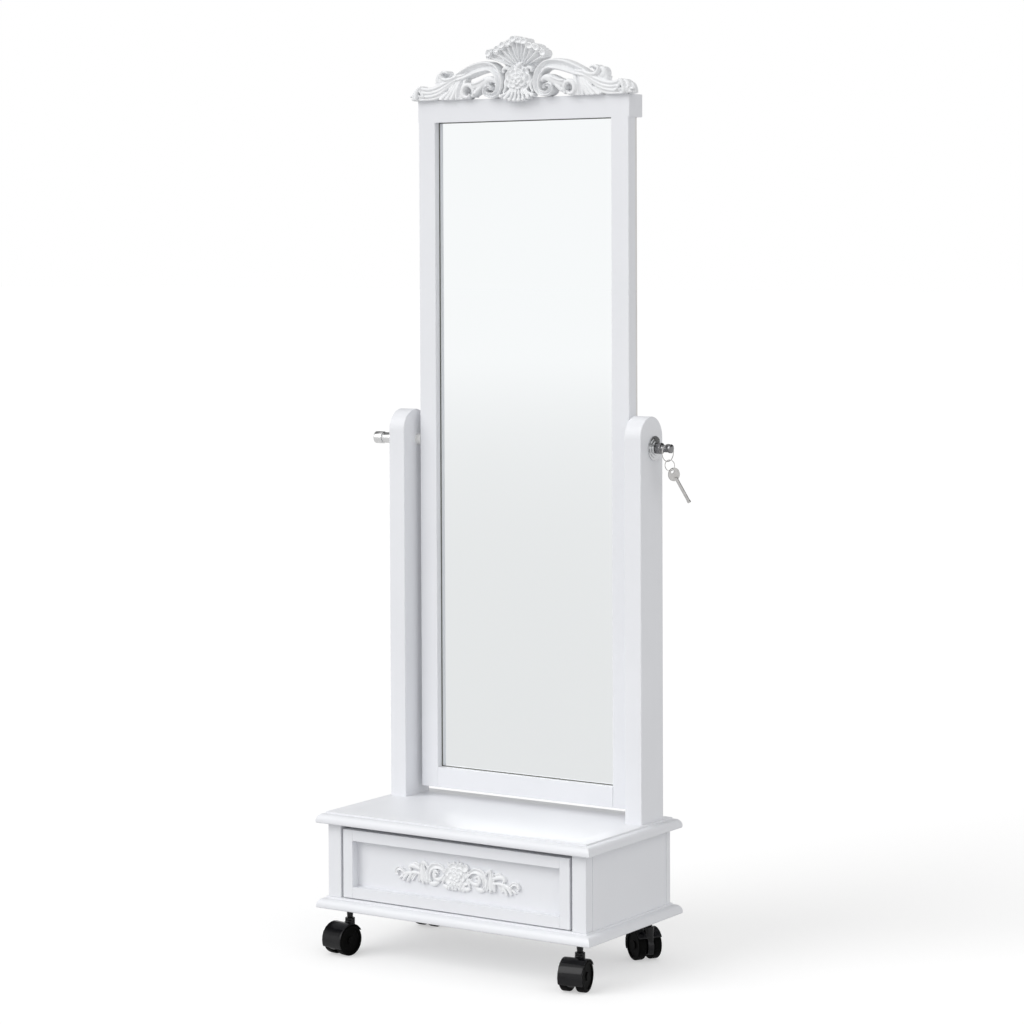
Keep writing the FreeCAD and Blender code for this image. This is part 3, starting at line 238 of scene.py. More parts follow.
def lines_group():
    """Noise drawn out along one axis: the stretch squeezes the pattern across the lines."""
    group, given, result = new_group(
        "worked_lines", [("Across X", 400.0), ("Across Y", 400.0), ("Across Z", 8.0)], ["Lines"])
    place = group.nodes.new("ShaderNodeTexCoord")
    size = group.nodes.new("ShaderNodeCombineXYZ")
    for axis in "XYZ":
        link(group, given, "Across " + axis, size, axis)
    stretch = group.nodes.new("ShaderNodeVectorMath")
    stretch.operation = "MULTIPLY"
    noise = group.nodes.new("ShaderNodeTexNoise")
    noise.inputs["Scale"].default_value = 1.0
    noise.inputs["Detail"].default_value = 4.0
    link(group, place, "Object", stretch, 0)
    link(group, size, "Vector", stretch, 1)
    link(group, stretch, "Vector", noise, "Vector")
    link(group, noise, "Fac", result, "Lines")
    return group


FILM, LINES = mottle_group(), lines_group()
print("groups", FILM.name, LINES.name)

# %% [markdown]
# A finish is one shader whose colour, gloss and small bumps come from those groups. The
# helper below sets the constant values on the shader and joins the changing ones.

# %% A helper for finishes
def finish(name, low, high, gloss, metal=0.0, film=(6.0, 900.0), lines=None, height=0.02, specular=0.5):
    """Tone runs from low to high with the pattern, roughness runs over gloss, bumps are height mm."""
    made = bpy.data.materials.new(name)
    made.use_nodes = True
    tree = made.node_tree
    shader = tree.nodes["Principled BSDF"]
    shader.inputs["Metallic"].default_value = metal
    shader.inputs["Specular IOR Level"].default_value = specular
    skin = tree.nodes.new("ShaderNodeGroup")
    skin.node_tree = FILM
    skin.inputs["Cloud Scale"].default_value, skin.inputs["Skin Scale"].default_value = film
    tone_from, gloss_from = (skin, "Cloud"), (skin, "Skin")
    if lines:
        grain = tree.nodes.new("ShaderNodeGroup")
        grain.node_tree = LINES
        for axis, value in zip("XYZ", lines):
            grain.inputs["Across " + axis].default_value = value
        tone_from = gloss_from = (grain, "Lines")
    tone = tree.nodes.new("ShaderNodeValToRGB")
    tone.color_ramp.elements[0].position, tone.color_ramp.elements[1].position = 0.3, 0.7
    tone.color_ramp.elements[0].color = (*low, 1.0)
    tone.color_ramp.elements[1].color = (*high, 1.0)
    link(tree, *tone_from, tone, "Fac")
    link(tree, tone, "Color", shader, "Base Color")
    shine = tree.nodes.new("ShaderNodeMapRange")
    shine.inputs["From Min"].default_value, shine.inputs["From Max"].default_value = 0.3, 0.7
    shine.inputs["To Min"].default_value, shine.inputs["To Max"].default_value = gloss
    link(tree, *gloss_from, shine, "Value")
    link(tree, shine, "Result", shader, "Roughness")
    if height:
        bump = tree.nodes.new("ShaderNodeBump")
        bump.inputs["Distance"].default_value = height * MM
        bump.inputs["Strength"].default_value = 0.6
        link(tree, *gloss_from, bump, "Height")
        link(tree, bump, "Normal", shader, "Normal")
    return made


finishes = {
    "white_paint": finish("white_paint", (0.81, 0.82, 0.85), (0.835, 0.845, 0.875), (0.34, 0.44),
                          height=0.03),
    "white_carving": finish("white_carving", (0.85, 0.86, 0.875), (0.88, 0.888, 0.9), (0.36, 0.48),
                            film=(30.0, 1400.0), height=0.03),
    "plain_board": finish("plain_board", (0.74, 0.735, 0.72), (0.79, 0.785, 0.775), (0.5, 0.62),
                          film=(14.0, 500.0), height=0.04),
    "bare_wood": finish("bare_wood", (0.5, 0.33, 0.17), (0.66, 0.48, 0.28), (0.42, 0.58),
                        lines=(14.0, 260.0, 260.0), height=0.05),
    "felt": finish("felt", (0.5, 0.48, 0.45), (0.62, 0.6, 0.57), (0.85, 0.98), film=(60.0, 2200.0),
                   height=0.25),
    "mirror": finish("mirror", (0.925, 0.945, 0.95), (0.935, 0.955, 0.96), (0.0, 0.012), metal=1.0,
                     film=(2.0, 40.0), height=0.0),
    "white_plastic": finish("white_plastic", (0.8, 0.8, 0.79), (0.83, 0.83, 0.82), (0.3, 0.38), height=0.01),
    "chrome": finish("chrome", (0.6, 0.61, 0.62), (0.66, 0.67, 0.68), (0.07, 0.13), metal=1.0,
                     film=(90.0, 3000.0), height=0.004),
    # painted reflection: a darkened copy of chrome for the right-hand knob, standing in for the dark
    # surroundings its plating mirrors
    "chrome_painted_dark_reflection": finish("chrome_painted_dark_reflection", (0.2, 0.2, 0.205), (0.27, 0.27, 0.275), (0.08, 0.14), metal=1.0,
                          film=(90.0, 3000.0), height=0.004),
    "chrome_satin": finish("chrome_satin", (0.68, 0.68, 0.68), (0.74, 0.74, 0.74), (0.26, 0.34), metal=1.0,
                           film=(90.0, 3000.0), height=0.006),
    # painted shade: a near-black finish for the strip that stands in for the shadow where the glass meets the
    # frame
    "seal": finish("seal", (0.1, 0.102, 0.09), (0.14, 0.142, 0.13), (0.5, 0.65), film=(60.0, 900.0),
                   height=0.01),
    "key_metal": finish("key_metal", (0.52, 0.51, 0.5), (0.64, 0.63, 0.62), (0.26, 0.38), metal=1.0,
                        film=(160.0, 4000.0), height=0.01),
    "steel": finish("steel", (0.5, 0.5, 0.51), (0.62, 0.62, 0.63), (0.26, 0.4), metal=1.0,
                    film=(120.0, 3000.0), height=0.01),
    "brass": finish("brass", (0.6, 0.44, 0.18), (0.72, 0.55, 0.26), (0.24, 0.36), metal=1.0,
                    film=(120.0, 3000.0), height=0.01),
    "zinc_sleeve": finish("zinc_sleeve", (0.45, 0.45, 0.46), (0.58, 0.58, 0.58), (0.3, 0.45), metal=1.0,
                          film=(120.0, 3000.0), height=0.01),
    "caster_black": finish("caster_black", (0.002, 0.002, 0.003), (0.005, 0.005, 0.006), (0.14, 0.22),
                           film=(40.0, 1800.0), height=0.01, specular=0.3),
    "caster_wheel": finish("caster_wheel", (0.0012, 0.0012, 0.0012), (0.0025, 0.0025, 0.0022), (0.5, 0.62),
                           film=(60.0, 2200.0), height=0.02, specular=0.06),
}
for name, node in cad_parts.items():
    given = node.data.materials[0].name.split(".")[0]
    node.material_slots[0].link = "OBJECT"
    node.material_slots[0].material = finishes[given]
print("finishes", len(finishes))

# %% [markdown]
# New pieces are made from arrays of points. One helper turns points and faces into a mesh
# that rides on its body, takes a finish, and stands for the nodes that it replaces.

# %% Make a piece
def make_piece(name, points, faces, body, slot, stands_for=(), smooth=True):
    """A mesh from millimetre points, given to a body, a finish and the nodes it replaces."""
    mesh = bpy.data.meshes.new(name)
    mesh.from_pydata((np.asarray(points, float) * MM).tolist(), [], [list(f) for f in faces])
    mesh.materials.append(finishes[slot])
    made = bpy.data.objects.new(name, mesh)
    scene.collection.objects.link(made)
    mesh.polygons.foreach_set("use_smooth", np.full(len(mesh.polygons), smooth))
    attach(made, body)
    if stands_for:
        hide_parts(*stands_for)
    return made


def grid_faces(rows, columns, wrap_rows=False, wrap_columns=False):
    """Four-sided faces of a rows by columns grid of points, joined round where asked."""
    r = np.arange(rows if wrap_rows else rows - 1)[:, None]
    c = np.arange(columns if wrap_columns else columns - 1)[None, :]
    r1, c1 = (r + 1) % rows, (c + 1) % columns
    faces = np.stack([r * columns + c, r * columns + c1, r1 * columns + c1, r1 * columns + c], -1)
    return faces.reshape(-1, 4)


def join_meshes(parts):
    """Stack several (points, faces) pairs into one."""
    points, faces, offset = [], [], 0
    for some_points, some_faces in parts:
        points.append(np.asarray(some_points, float))
        faces += [[int(i) + offset for i in face] for face in some_faces]
        offset += len(some_points)
    return np.concatenate(points), faces


def bake(piece):
    """Replace a piece's mesh with what its modifiers make of it."""
    depsgraph = bpy.context.evaluated_depsgraph_get()
    made = bpy.data.meshes.new_from_object(piece.evaluated_get(depsgraph))
    piece.modifiers.clear()
    piece.data = made
    return piece


# %% [markdown]
# Sawn boards have arrises that catch a thin line of light. A board here is the box of its
# node with its edges taken off by a Bevel, which is close to what the sandpaper does.

# %% Boards with soft arrises
def bevel(piece, width, sharp_from=40):
    """Take the edges off by a width in millimetres, where faces meet at more than an angle."""
    cut = piece.modifiers.new("arris", "BEVEL")
    cut.width, cut.segments, cut.limit_method = width * MM, 2, "ANGLE"
    cut.angle_limit = math.radians(sharp_from)
    cut.harden_normals = True
    return piece


def soft_board(node, body, slot, width):
    """The node's box as six faces with its arrises taken off."""
    low, high = (np.array(corner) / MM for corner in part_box(node))
    corner = np.array([[i & 1, i >> 1 & 1, i >> 2 & 1] for i in range(8)])
    points = low + corner * (high - low)
    faces = [(0, 2, 3, 1), (4, 5, 7, 6), (0, 1, 5, 4), (2, 6, 7, 3), (0, 4, 6, 2), (1, 3, 7, 5)]
    piece = make_piece(node + "_soft", points, faces, body, slot, (node,), smooth=True)
    return bevel(piece, width)


for node in ("front_stile_right", "front_stile_left"):
    soft_board(node, "base", "white_paint", 0.8)
for node in ("drawer_stile_right", "drawer_stile_left", "drawer_rail_bottom", "drawer_rail_top"):
    soft_board(node, "drawer", "white_paint", 0.5)
for node in ("drawer_side_right", "drawer_side_left", "drawer_back"):
    soft_board(node, "drawer", "bare_wood", 0.7)
print("soft boards made")

# %% [markdown]
# The two moulded boards have the same edge: a flat top, a small step, a quarter-round and a
# short nose. The edge is one profile carried round a rectangle. At the corners the profile
# runs into the mitre, so each ring of points is simply the rectangle grown by the profile's
# reach, and all points come from one array product.

# %% The moulded boards
def moulded_edge(top):
    """Profile as (reach, height): flat, step, quarter-round by angle, nose, small round under."""
    turn = np.radians(np.linspace(90, 0, 9))
    under = np.radians(np.linspace(0, -90, 5))
    parts = [
        [(-30.0, top), (2.3, top), (2.8, top - 0.2), (3.0, top - 0.7), (3.0, top - 2.3), (3.3, top - 2.5)],
        np.stack([3.5 + 11 * np.cos(turn), top - 13.5 + 11 * np.sin(turn)], 1),
        np.stack([12.5 + 2 * np.cos(under), top - 15.5 + 2 * np.sin(under)], 1),
        [(-30.0, top - 17.5)],
    ]
    return np.concatenate([np.asarray(p, float) for p in parts])


def moulded_board(name, top, half_x, half_y, body, node):
    """The profile's reach grows the rectangle; rows are the profile, columns the four corners."""
    edge = moulded_edge(top)
    signs = np.array([[-1, -1], [1, -1], [1, 1], [-1, 1]], float)
    flat = signs[None] * (np.array([half_x, half_y])[None, None] + edge[:, None, :1])
    points = np.concatenate([flat, np.repeat(edge[:, None, 1:], 4, 1)], -1).reshape(-1, 3)
    faces = grid_faces(len(edge), 4, wrap_columns=True)[:, ::-1].tolist()
    last = (len(edge) - 1) * 4
    faces += [[0, 1, 2, 3], [last + 3, last + 2, last + 1, last]]
    piece = make_piece(name, points, faces, body, "white_paint", (node,))
    return bevel(piece, 0.35, 50)


HALF_WIDTH, HALF_DEPTH = 240.0, 123.5    # of the base between the boards
moulded_board("base_top_moulded", 225.0, HALF_WIDTH, HALF_DEPTH, "base", "base_top_board")
moulded_board("base_bottom_moulded", 90.5, HALF_WIDTH, HALF_DEPTH, "base", "base_bottom_board")

# %% [markdown]
# ## The carving
# The crown and the drawer's rose are cast from carved patterns. Each scroll, rib or leaf is a
# band whose section is carried along a smooth line, getting wider and narrower on its way.
# Bands that cross are welded by a voxel remesh, which works as the carver's or the caster's
# filler does, and a little smoothing takes off the voxel steps.

# %% Smooth lines and bands
def smooth_line(points, count):
    """Cubic pieces through the points, whose slopes are the mean of the neighbouring chords."""
    p = np.asarray(points, float)
    t = np.r_[0.0, np.cumsum(np.linalg.norm(np.diff(p[:, :2], axis=0), axis=1) ** 0.5 + 1e-6)]
    slope = np.gradient(p, t, axis=0)
    s = np.linspace(0.0, t[-1], count)
    k = np.clip(np.searchsorted(t, s, side="right") - 1, 0, len(p) - 2)
    h = (t[k + 1] - t[k])[:, None]
    a = (s - t[k])[:, None] / h
    return ((2 * a**3 - 3 * a**2 + 1) * p[k] + (a**3 - 2 * a**2 + a) * h * slope[k]
            + (-2 * a**3 + 3 * a**2) * p[k + 1] + (a**3 - a**2) * h * slope[k + 1])


def section(kind, s):
    """How far the face lies behind the front, from 0 to 1, across a band from s = -1 to 1."""
    edge = np.abs(s)
    if kind == "cove":
        hollow, bead = np.clip(1 - edge / 0.62, 0, 1), np.clip((edge - 0.62) / 0.38, 0, 1)
        return 0.85 * hollow + bead**4
    if kind == "flutes":
        return 0.35 * np.abs(np.sin(1.5 * np.pi * s)) + 0.65 * edge**4
    if kind == "flat":
        return 0.5 * edge**8
    return 1 - np.sqrt(np.clip(1 - edge**2, 0, 1))


def band(keys, front, back, relief, kind="round", count=48, across=13):
    """keys are (x, z, width). The section runs from side to side and is closed by a flat back."""
    line = smooth_line(keys, count)
    ahead_2d = np.gradient(line[:, :2], axis=0)
    ahead_2d /= np.maximum(np.linalg.norm(ahead_2d, axis=1, keepdims=True), 1e-9)
    normal = np.stack([-ahead_2d[:, 1], ahead_2d[:, 0]], 1)
    s = np.sin(np.linspace(-np.pi / 2, np.pi / 2, across))
    half = np.maximum(line[:, 2], 0.6)[:, None] / 2
    fronts = np.interp(np.linspace(0, 1, count), np.linspace(0, 1, len(np.atleast_1d(front))),
                       np.atleast_1d(front).astype(float))[:, None]
    reliefs = np.minimum(relief, half * 1.2) if kind == "round" else np.full_like(half, relief)
    depth = np.minimum(fronts + reliefs * section(kind, s)[None], back - 0.4)
    x = line[:, :1] + normal[:, :1] * s[None] * half
    z = line[:, 1:2] + normal[:, 1:] * s[None] * half
    face = np.stack([x, depth, z], -1)
    rear = np.stack([x[:, ::-1], np.full_like(x, back), z[:, ::-1]], -1)
    ring = np.concatenate([face, rear], 1)
    columns = ring.shape[1]
    faces = grid_faces(count, columns, wrap_columns=True).tolist()
    end = (count - 1) * columns
    faces += [list(range(columns))[::-1], [end + i for i in range(columns)]]
    return ring.reshape(-1, 3), faces


def petal(x, z, radius, front, back, dish, squash=1.0, turn=0.0):
    """A round dish: rings from the middle to a rolled rim and down to the back."""
    shares = np.array([0.02, 0.3, 0.6, 0.82, 0.93, 1.0, 1.0])
    depths = np.array([1.0, 0.85, 0.45, 0.1, 0.0, 0.35, 0.0]) * dish + front
    depths[-1] = back
    around = 24
    angle = np.linspace(0, 2 * np.pi, around, endpoint=False)
    u = shares[:, None] * radius * np.cos(angle)[None]
    v = shares[:, None] * radius * squash * np.sin(angle)[None]
    c, w = math.cos(turn), math.sin(turn)
    points = np.stack([x + u * c - v * w, np.repeat(depths[:, None], around, 1), z + u * w + v * c], -1)
    faces = grid_faces(len(shares), around, wrap_columns=True).tolist()
    last = (len(shares) - 1) * around
    faces += [list(range(around))[::-1], [last + i for i in range(around)]]
    return points.reshape(-1, 3), faces


def mirror_part(part):
    """The same part on the other side of the middle."""
    points, faces = part
    return points * np.array([-1.0, 1.0, 1.0]), [list(face)[::-1] for face in faces]


def mesh_points(mesh):
    """A mesh's points in metres, one row each."""
    points = np.empty(len(mesh.vertices) * 3)
    mesh.vertices.foreach_get("co", points)
    return points.reshape(-1, 3)


def put_points(mesh, points):
    """Give a mesh its changed points back."""
    mesh.vertices.foreach_set("co", points.ravel())
    mesh.update()


def face_outwards(piece):
    """Turn the faces round if the volume they enclose comes out negative."""
    mesh = piece.data
    mesh.calc_loop_triangles()
    corners = np.empty(len(mesh.loop_triangles) * 3, int)
    mesh.loop_triangles.foreach_get("vertices", corners)
    a, b, c = mesh_points(mesh)[corners.reshape(-1, 3)].transpose(1, 0, 2)
    volume = float((a * np.cross(b, c)).sum()) / 6
    if volume < 0:
        mesh.flip_normals()
    return abs(volume)


def weld(name, parts, voxel, body, slot, stands_for, passes=4):
    """Join the parts, remesh them into one skin, and smooth the voxel steps."""
    points, faces = join_meshes(parts)
    piece = make_piece(name, points, faces, body, slot, stands_for)
    skin = piece.modifiers.new("skin", "REMESH")
    skin.mode, skin.voxel_size, skin.use_smooth_shade = "VOXEL", voxel * MM, True
    calm = piece.modifiers.new("calm", "SMOOTH")
    calm.factor, calm.iterations = 0.5, passes
    bake(piece)
    piece.data.materials.clear()
    piece.data.materials.append(finishes[slot])
    print(name, "encloses", round(face_outwards(piece) * 1e6, 1), "cm3")
    return piece


# %% [markdown]
# The right wing of the crown is a C-scroll that rolls into a volute beside the flower, a
# smaller scroll with its own volute, a coved pillar and a fan of ribs that stand on the rail,
# an upturned curl, and a long leaf whose end rolls outwards in three steps. The left wing is
# its mirror image. Each line below is one band: the points it runs through with its width at
# each, how far forward it lies along its way, its back, and the depth of its section.

# %% The crown's wings
RAIL_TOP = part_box("mirror_head_rail")[1].z / MM
BACK = 84.0                              # the flat rear of the carving


def wing():
    """Bands of the right wing, as (x, height over the rail, width)."""
    parts = [
        band([(136, 29.5, 6), (122, 34.5, 12), (107, 39.5, 17), (93, 44.5, 19.5), (80, 48.5, 19.5),
              (66, 50.5, 18), (54, 50, 16), (45.5, 45.5, 15), (39, 38, 14.5), (35.5, 28, 13.5),
              (35.2, 18, 12.5), (38.5, 9.8, 11), (46, 5.0, 9), (54.5, 5.0, 8.5), (61.5, 8.8, 8),
              (61.8, 15.2, 7), (56.0, 18.6, 5.5), (50.5, 16.5, 4.5), (50.8, 12.5, 4)],
             (66, 63, 61.5, 60, 60, 59), BACK, 9.0, "cove", 130, 21),
        band([(54, 13, 9), (56, 13, 9)], 72, BACK, 0.5, "flat", 8),
        band([(43, 24, 4), (47.5, 28.5, 9), (55, 29.5, 12), (63, 26.5, 14), (72, 22.5, 14), (81, 20.5, 12),
              (88, 21.5, 9)], (64, 61.5, 62, 62), 82, 5.0, "round", 60, 17),
        band([(62, 31, 3), (70, 27.5, 4), (79, 24.5, 4.5), (87, 24.0, 4)], (60.5, 59.5), 78, 4.0),
        band([(66, 24, 4), (72, 17, 6.5), (78, 12, 7), (82, 7.5, 4)], (63, 61.5, 62), 82, 4.5),
        band([(88, 3.2, 5), (85.6, 9, 6), (87, 17, 7), (92.5, 22.2, 7.5), (100, 21.2, 7.5),
              (105.2, 14.5, 7.5), (104.5, 6.8, 7), (98.5, 2.8, 6), (93.5, 4.5, 4), (92, 8, 3)],
             (64, 61.5, 60.5, 60.5, 62), 82, 6.5, "round", 80, 17),
        band([(90, 12, 14), (100, 12, 14)], 76, BACK, 0.5, "flat", 8),
        band([(74, 20, 5), (76.5, 14, 5), (80, 9, 4), (83, 6, 3)], 67, 80, 3.5),
        band([(100, 36, 4), (114, 33, 7), (128, 26, 9), (142, 18.5, 14), (158, 11, 20), (178, 9.8, 20),
              (196, 9.5, 18)], 70.5, BACK, 1.0, "flat", 60),
        band([(104, 39, 3), (119, 36, 4.5), (132, 30, 6), (145, 24.5, 7), (158, 19.8, 7), (172, 17.2, 7),
              (183, 18.5, 5.5), (190, 20.5, 4)], (66, 64, 63, 62.5, 61.5), 82, 5.5),
        band([(112, 34, 3), (127, 28.5, 5), (143, 19.5, 6.0), (158, 13.6, 6.2), (174, 11.6, 6), (188, 14, 5)],
             (66, 64, 63.5, 63), 82, 5.5),
        band([(122, 28, 3), (134, 21, 4.5), (149, 12.0, 5.6), (166, 6.8, 5.8), (182, 6.0, 5.5), (194, 8, 5)],
             (66, 64.5, 64, 63.5), 82, 5.5),
        band([(141, 13.0, 3), (153, 5.2, 5.0), (168, 1.6, 5.0), (186, 1.0, 5.0), (197, 2.5, 4.5)],
             (67, 65.5, 65), 82, 5.0),
        band([(186, 22, 4), (191.5, 19, 6), (195, 11, 6.5), (196, 1.5, 6)], (61, 59.5, 60), 83, 4.0),
        band([(193, 21, 4), (198.5, 17, 6.5), (201.5, 10, 7), (202.5, 1.0, 6.5)], (67, 65.5, 66), 83, 4.0),
        band([(199, 17.5, 4), (203.5, 14, 6), (206.5, 8, 6.5), (208.0, 0.5, 6)], (73, 72, 72), 83, 4.0),
        band([(181, 5, 3), (187, 13, 4), (191, 20.5, 4)], 61.5, 80, 4.5),
        band([(199, 1, 4), (200.5, 8, 4.5), (203.5, 11.5, 4)], (64, 64), 80, 4.5),
        band([(199, 2.5, 9), (203, 3.5, 9)], 75, 82, 0.5, "flat", 8),
        band([(118, 37.5, 4), (129, 33.5, 5.5), (139, 32.0, 6.5), (146.5, 34.8, 7), (148.6, 40.5, 6),
              (143.5, 44.4, 4.5), (137, 44.0, 3.5), (134.5, 41.5, 2.5)],
             (64, 62, 61, 61), 82, 6.0, "round", 60),
        band([(132, 27, 6), (146, 28.5, 12), (156, 32, 12), (155.5, 38, 9), (149, 40.5, 8)],
             (69, 66, 66), 83.5, 6.0),
        band([(136, 36, 12), (145, 38.5, 11)], 73, 83.5, 0.5, "flat", 8),
        band([(146, 21, 8), (157, 23.5, 9), (160, 30, 9)], 68, 83.5, 5.0),
        band([(207, 2.0, 2.5), (204, 4.8, 2.8), (206.5, 8.0, 2.8), (210.5, 6.8, 2.6)], 66, 74, 2.2),
    ]
    for keys in ([(106, 34, 6), (110.5, 24, 10), (114, 12, 12.5), (115.5, -1.5, 14)],
                 [(101.5, 33, 3), (104.5, 22, 3.5), (106.5, 10, 4), (106.8, -1.5, 4.5)]):
        parts.append(band(keys, (67, 64.5, 64.5), 83, 6.0, "cove" if keys[0][2] > 4 else "round", 36, 17))
    parts.append(band([(112, 33, 8), (118, 22, 14)], 76, 83, 0.5, "flat", 20))
    starts = [(115, 31), (118.0, 30), (122, 28.5)]
    ends = [(129.5, 0), (139.5, 0), (150.5, 0.5)]
    for (x0, z0), (x1, z1) in zip(starts, ends):
        middle = (0.55 * x0 + 0.45 * x1 - 0.05 * (x1 - 104), 0.5 * z0)
        parts.append(band([(x0, z0, 3), (*middle, 6), (x1, z1 - 1.5, 9)], (67, 64, 63.5), 83, 6.0,
                          "round", 36))
    return [(points + np.array([0, 0, RAIL_TOP]), faces) for points, faces in parts]


def stand_on(piece, height, behind):
    """Flatten whatever reaches under the rail's top, behind the rail's front."""
    points = mesh_points(piece.data)
    low = (points[:, 1] > behind * MM) & (points[:, 2] < height * MM)
    points[low, 2] = height * MM
    put_points(piece.data, points)


VOXEL = 0.75
right_parts = wing()
left_parts = [mirror_part(part) for part in right_parts]
for name, parts in (("crown_wing_right", right_parts), ("crown_wing_left", left_parts)):
    piece = weld(name, parts, VOXEL, "mirror", "white_carving", ("crown_carving",))
    stand_on(piece, RAIL_TOP, 0.0)
    print(name, len(piece.data.polygons), "faces")

# %% [markdown]
# Between the wings stands a fluted shell with a ruffled rim, a flower under it, and ribs that
# hang over the front of the rail. The flutes are coved bands that widen with their distance
# from one point, with a thin rib between each pair, and every flute ends in three rolled
# lumps of the rim. The flower is three rings of dished petals, each ring further forward.

# %% The crown's middle
def reach_of(turn):
    """The shell's outline: how far it reaches at an angle from upright, in degrees."""
    return np.interp(np.abs(turn), [0, 12, 26, 40, 54, 66, 76], [48.3, 47.4, 45.6, 46.6, 53, 59.5, 57])


SHELL_FOOT, FLOWER_MIDDLE = 45.0, 29.0   # heights over the rail


def crown_middle():
    """A plate behind, then flutes, rim lumps, ribs, flower, side leaves and fringe."""
    parts = [band([(0, 0.5, 46), (0, 14, 40), (0, 30, 44), (0, 45, 50), (0, 58, 72), (0, 68, 92), (0, 76, 80),
                   (0, 84, 44), (0, 88, 20)], 74.0, BACK, 0.5, "flat", 40)]
    turns = np.array([-64, -50, -35, -20, -6.5, 6.5, 20, 35, 50, 64.0])
    for number, turn in enumerate(turns):
        a = math.radians(turn)
        far = float(reach_of(turn)) - (2.0 if number % 2 else 0.0)
        wide = math.radians(15.0)
        forward = 0.0 if number % 2 else -1.4
        keys = [(r * math.sin(a), SHELL_FOOT + r * math.cos(a), wide * r + 1.0)
                for r in (8, 20, 32, far - 7, far - 3)]
        parts.append(band(keys, np.array([71, 67, 64, 62.5, 61]) + forward, 83.5, 7.5, "cove", 30, 21))
        across = (math.cos(a), -math.sin(a))
        out = (math.sin(a), math.cos(a))
        half = wide * far * 0.3
        for side, size, rise, front in ((-0.95, 4.6, -1.4, 58.0), (0.25, 6.2, 0.6, 56.6),
                                        (1.3, 3.8, -2.2, 58.4)):
            cx = (far - 1.6 + rise) * out[0] + side * half * across[0]
            cz = SHELL_FOOT + (far - 1.6 + rise) * out[1] + side * half * across[1]
            parts.append(petal(cx, cz, size, front + forward, 80, 3.4, 0.8, -a + 0.6 * side))
    for turn in np.arange(-57, 60, 14.25):
        a = math.radians(turn)
        far = float(reach_of(turn)) - 9.0
        keys = [(r * math.sin(a), SHELL_FOOT + r * math.cos(a), 2.4) for r in (16, 30, far)]
        parts.append(band(keys, (66.5, 62.5, 60.0), 80, 2.0, "round", 24))
    for ring, (count, radius, size, front, dish) in enumerate(
            [(9, 18.2, 8.2, 62.5, 4.0), (7, 11.6, 7.2, 60.0, 3.8), (5, 5.6, 5.2, 58.0, 3.2)]):
        for k in range(count):
            a = 2 * math.pi * (k + 0.4 * ring) / count
            parts.append(petal(radius * math.cos(a), FLOWER_MIDDLE + radius * 0.92 * math.sin(a), size,
                               front + 0.6 * (k % 2), 77, dish, 0.8, a + math.pi / 2))
    parts.append(petal(0, FLOWER_MIDDLE, 2.2, 57.8, 76, -0.8))
    parts.append(band([(-2, 44, 6), (3, 50, 7), (10, 55, 2)], (61, 59.5, 63), 76, 4.5))
    for side in (-1, 1):
        parts.append(band([(side * 15, 43, 4), (side * 21, 46.5, 6), (side * 27, 44, 4.5),
                           (side * 26, 39, 3)], (62, 60.5, 61), 78, 4.5))
        parts.append(band([(side * 21, 32, 4), (side * 24.5, 25, 5), (side * 24, 16, 5), (side * 28, 8, 4)],
                          (65, 63, 63), 80, 4.0))
    for x in np.linspace(-29, 29, 8):
        drop = -7.0 + 7.0 * (x / 29) ** 2
        parts.append(band([(0.45 * x, 15.0, 2.2), (0.7 * x, 7.0, 3.8), (x, drop + 3.0, 5.4),
                           (x * 1.04, drop + 0.9, 4.4)], (64, 60.5, 59, 62), 73.2, 5.0, "round", 36))
        parts.append(petal(x * 1.02, drop + 2.6, 3.3, 57.8, 72, -0.8, 0.9, 0.0))
    return [(points + np.array([0, 0, RAIL_TOP]), faces) for points, faces in parts]


middle = weld("crown_middle", crown_middle(), VOXEL, "mirror", "white_carving", ("crown_carving",))
stand_on(middle, RAIL_TOP, 73.3)
print("crown middle", len(middle.data.polygons), "faces")

# %% [markdown]
# The drawer front carries a smaller casting in the same taste: a rose in the middle, a
# C-scroll, a fan and leafy ends to each side. It is drawn with the same bands and petals.

# %% The drawer's rose
PANEL_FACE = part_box("drawer_field_panel")[0].y / MM
ROSE_Z = 0.5 * (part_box("drawer_field_panel")[0].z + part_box("drawer_field_panel")[1].z) / MM


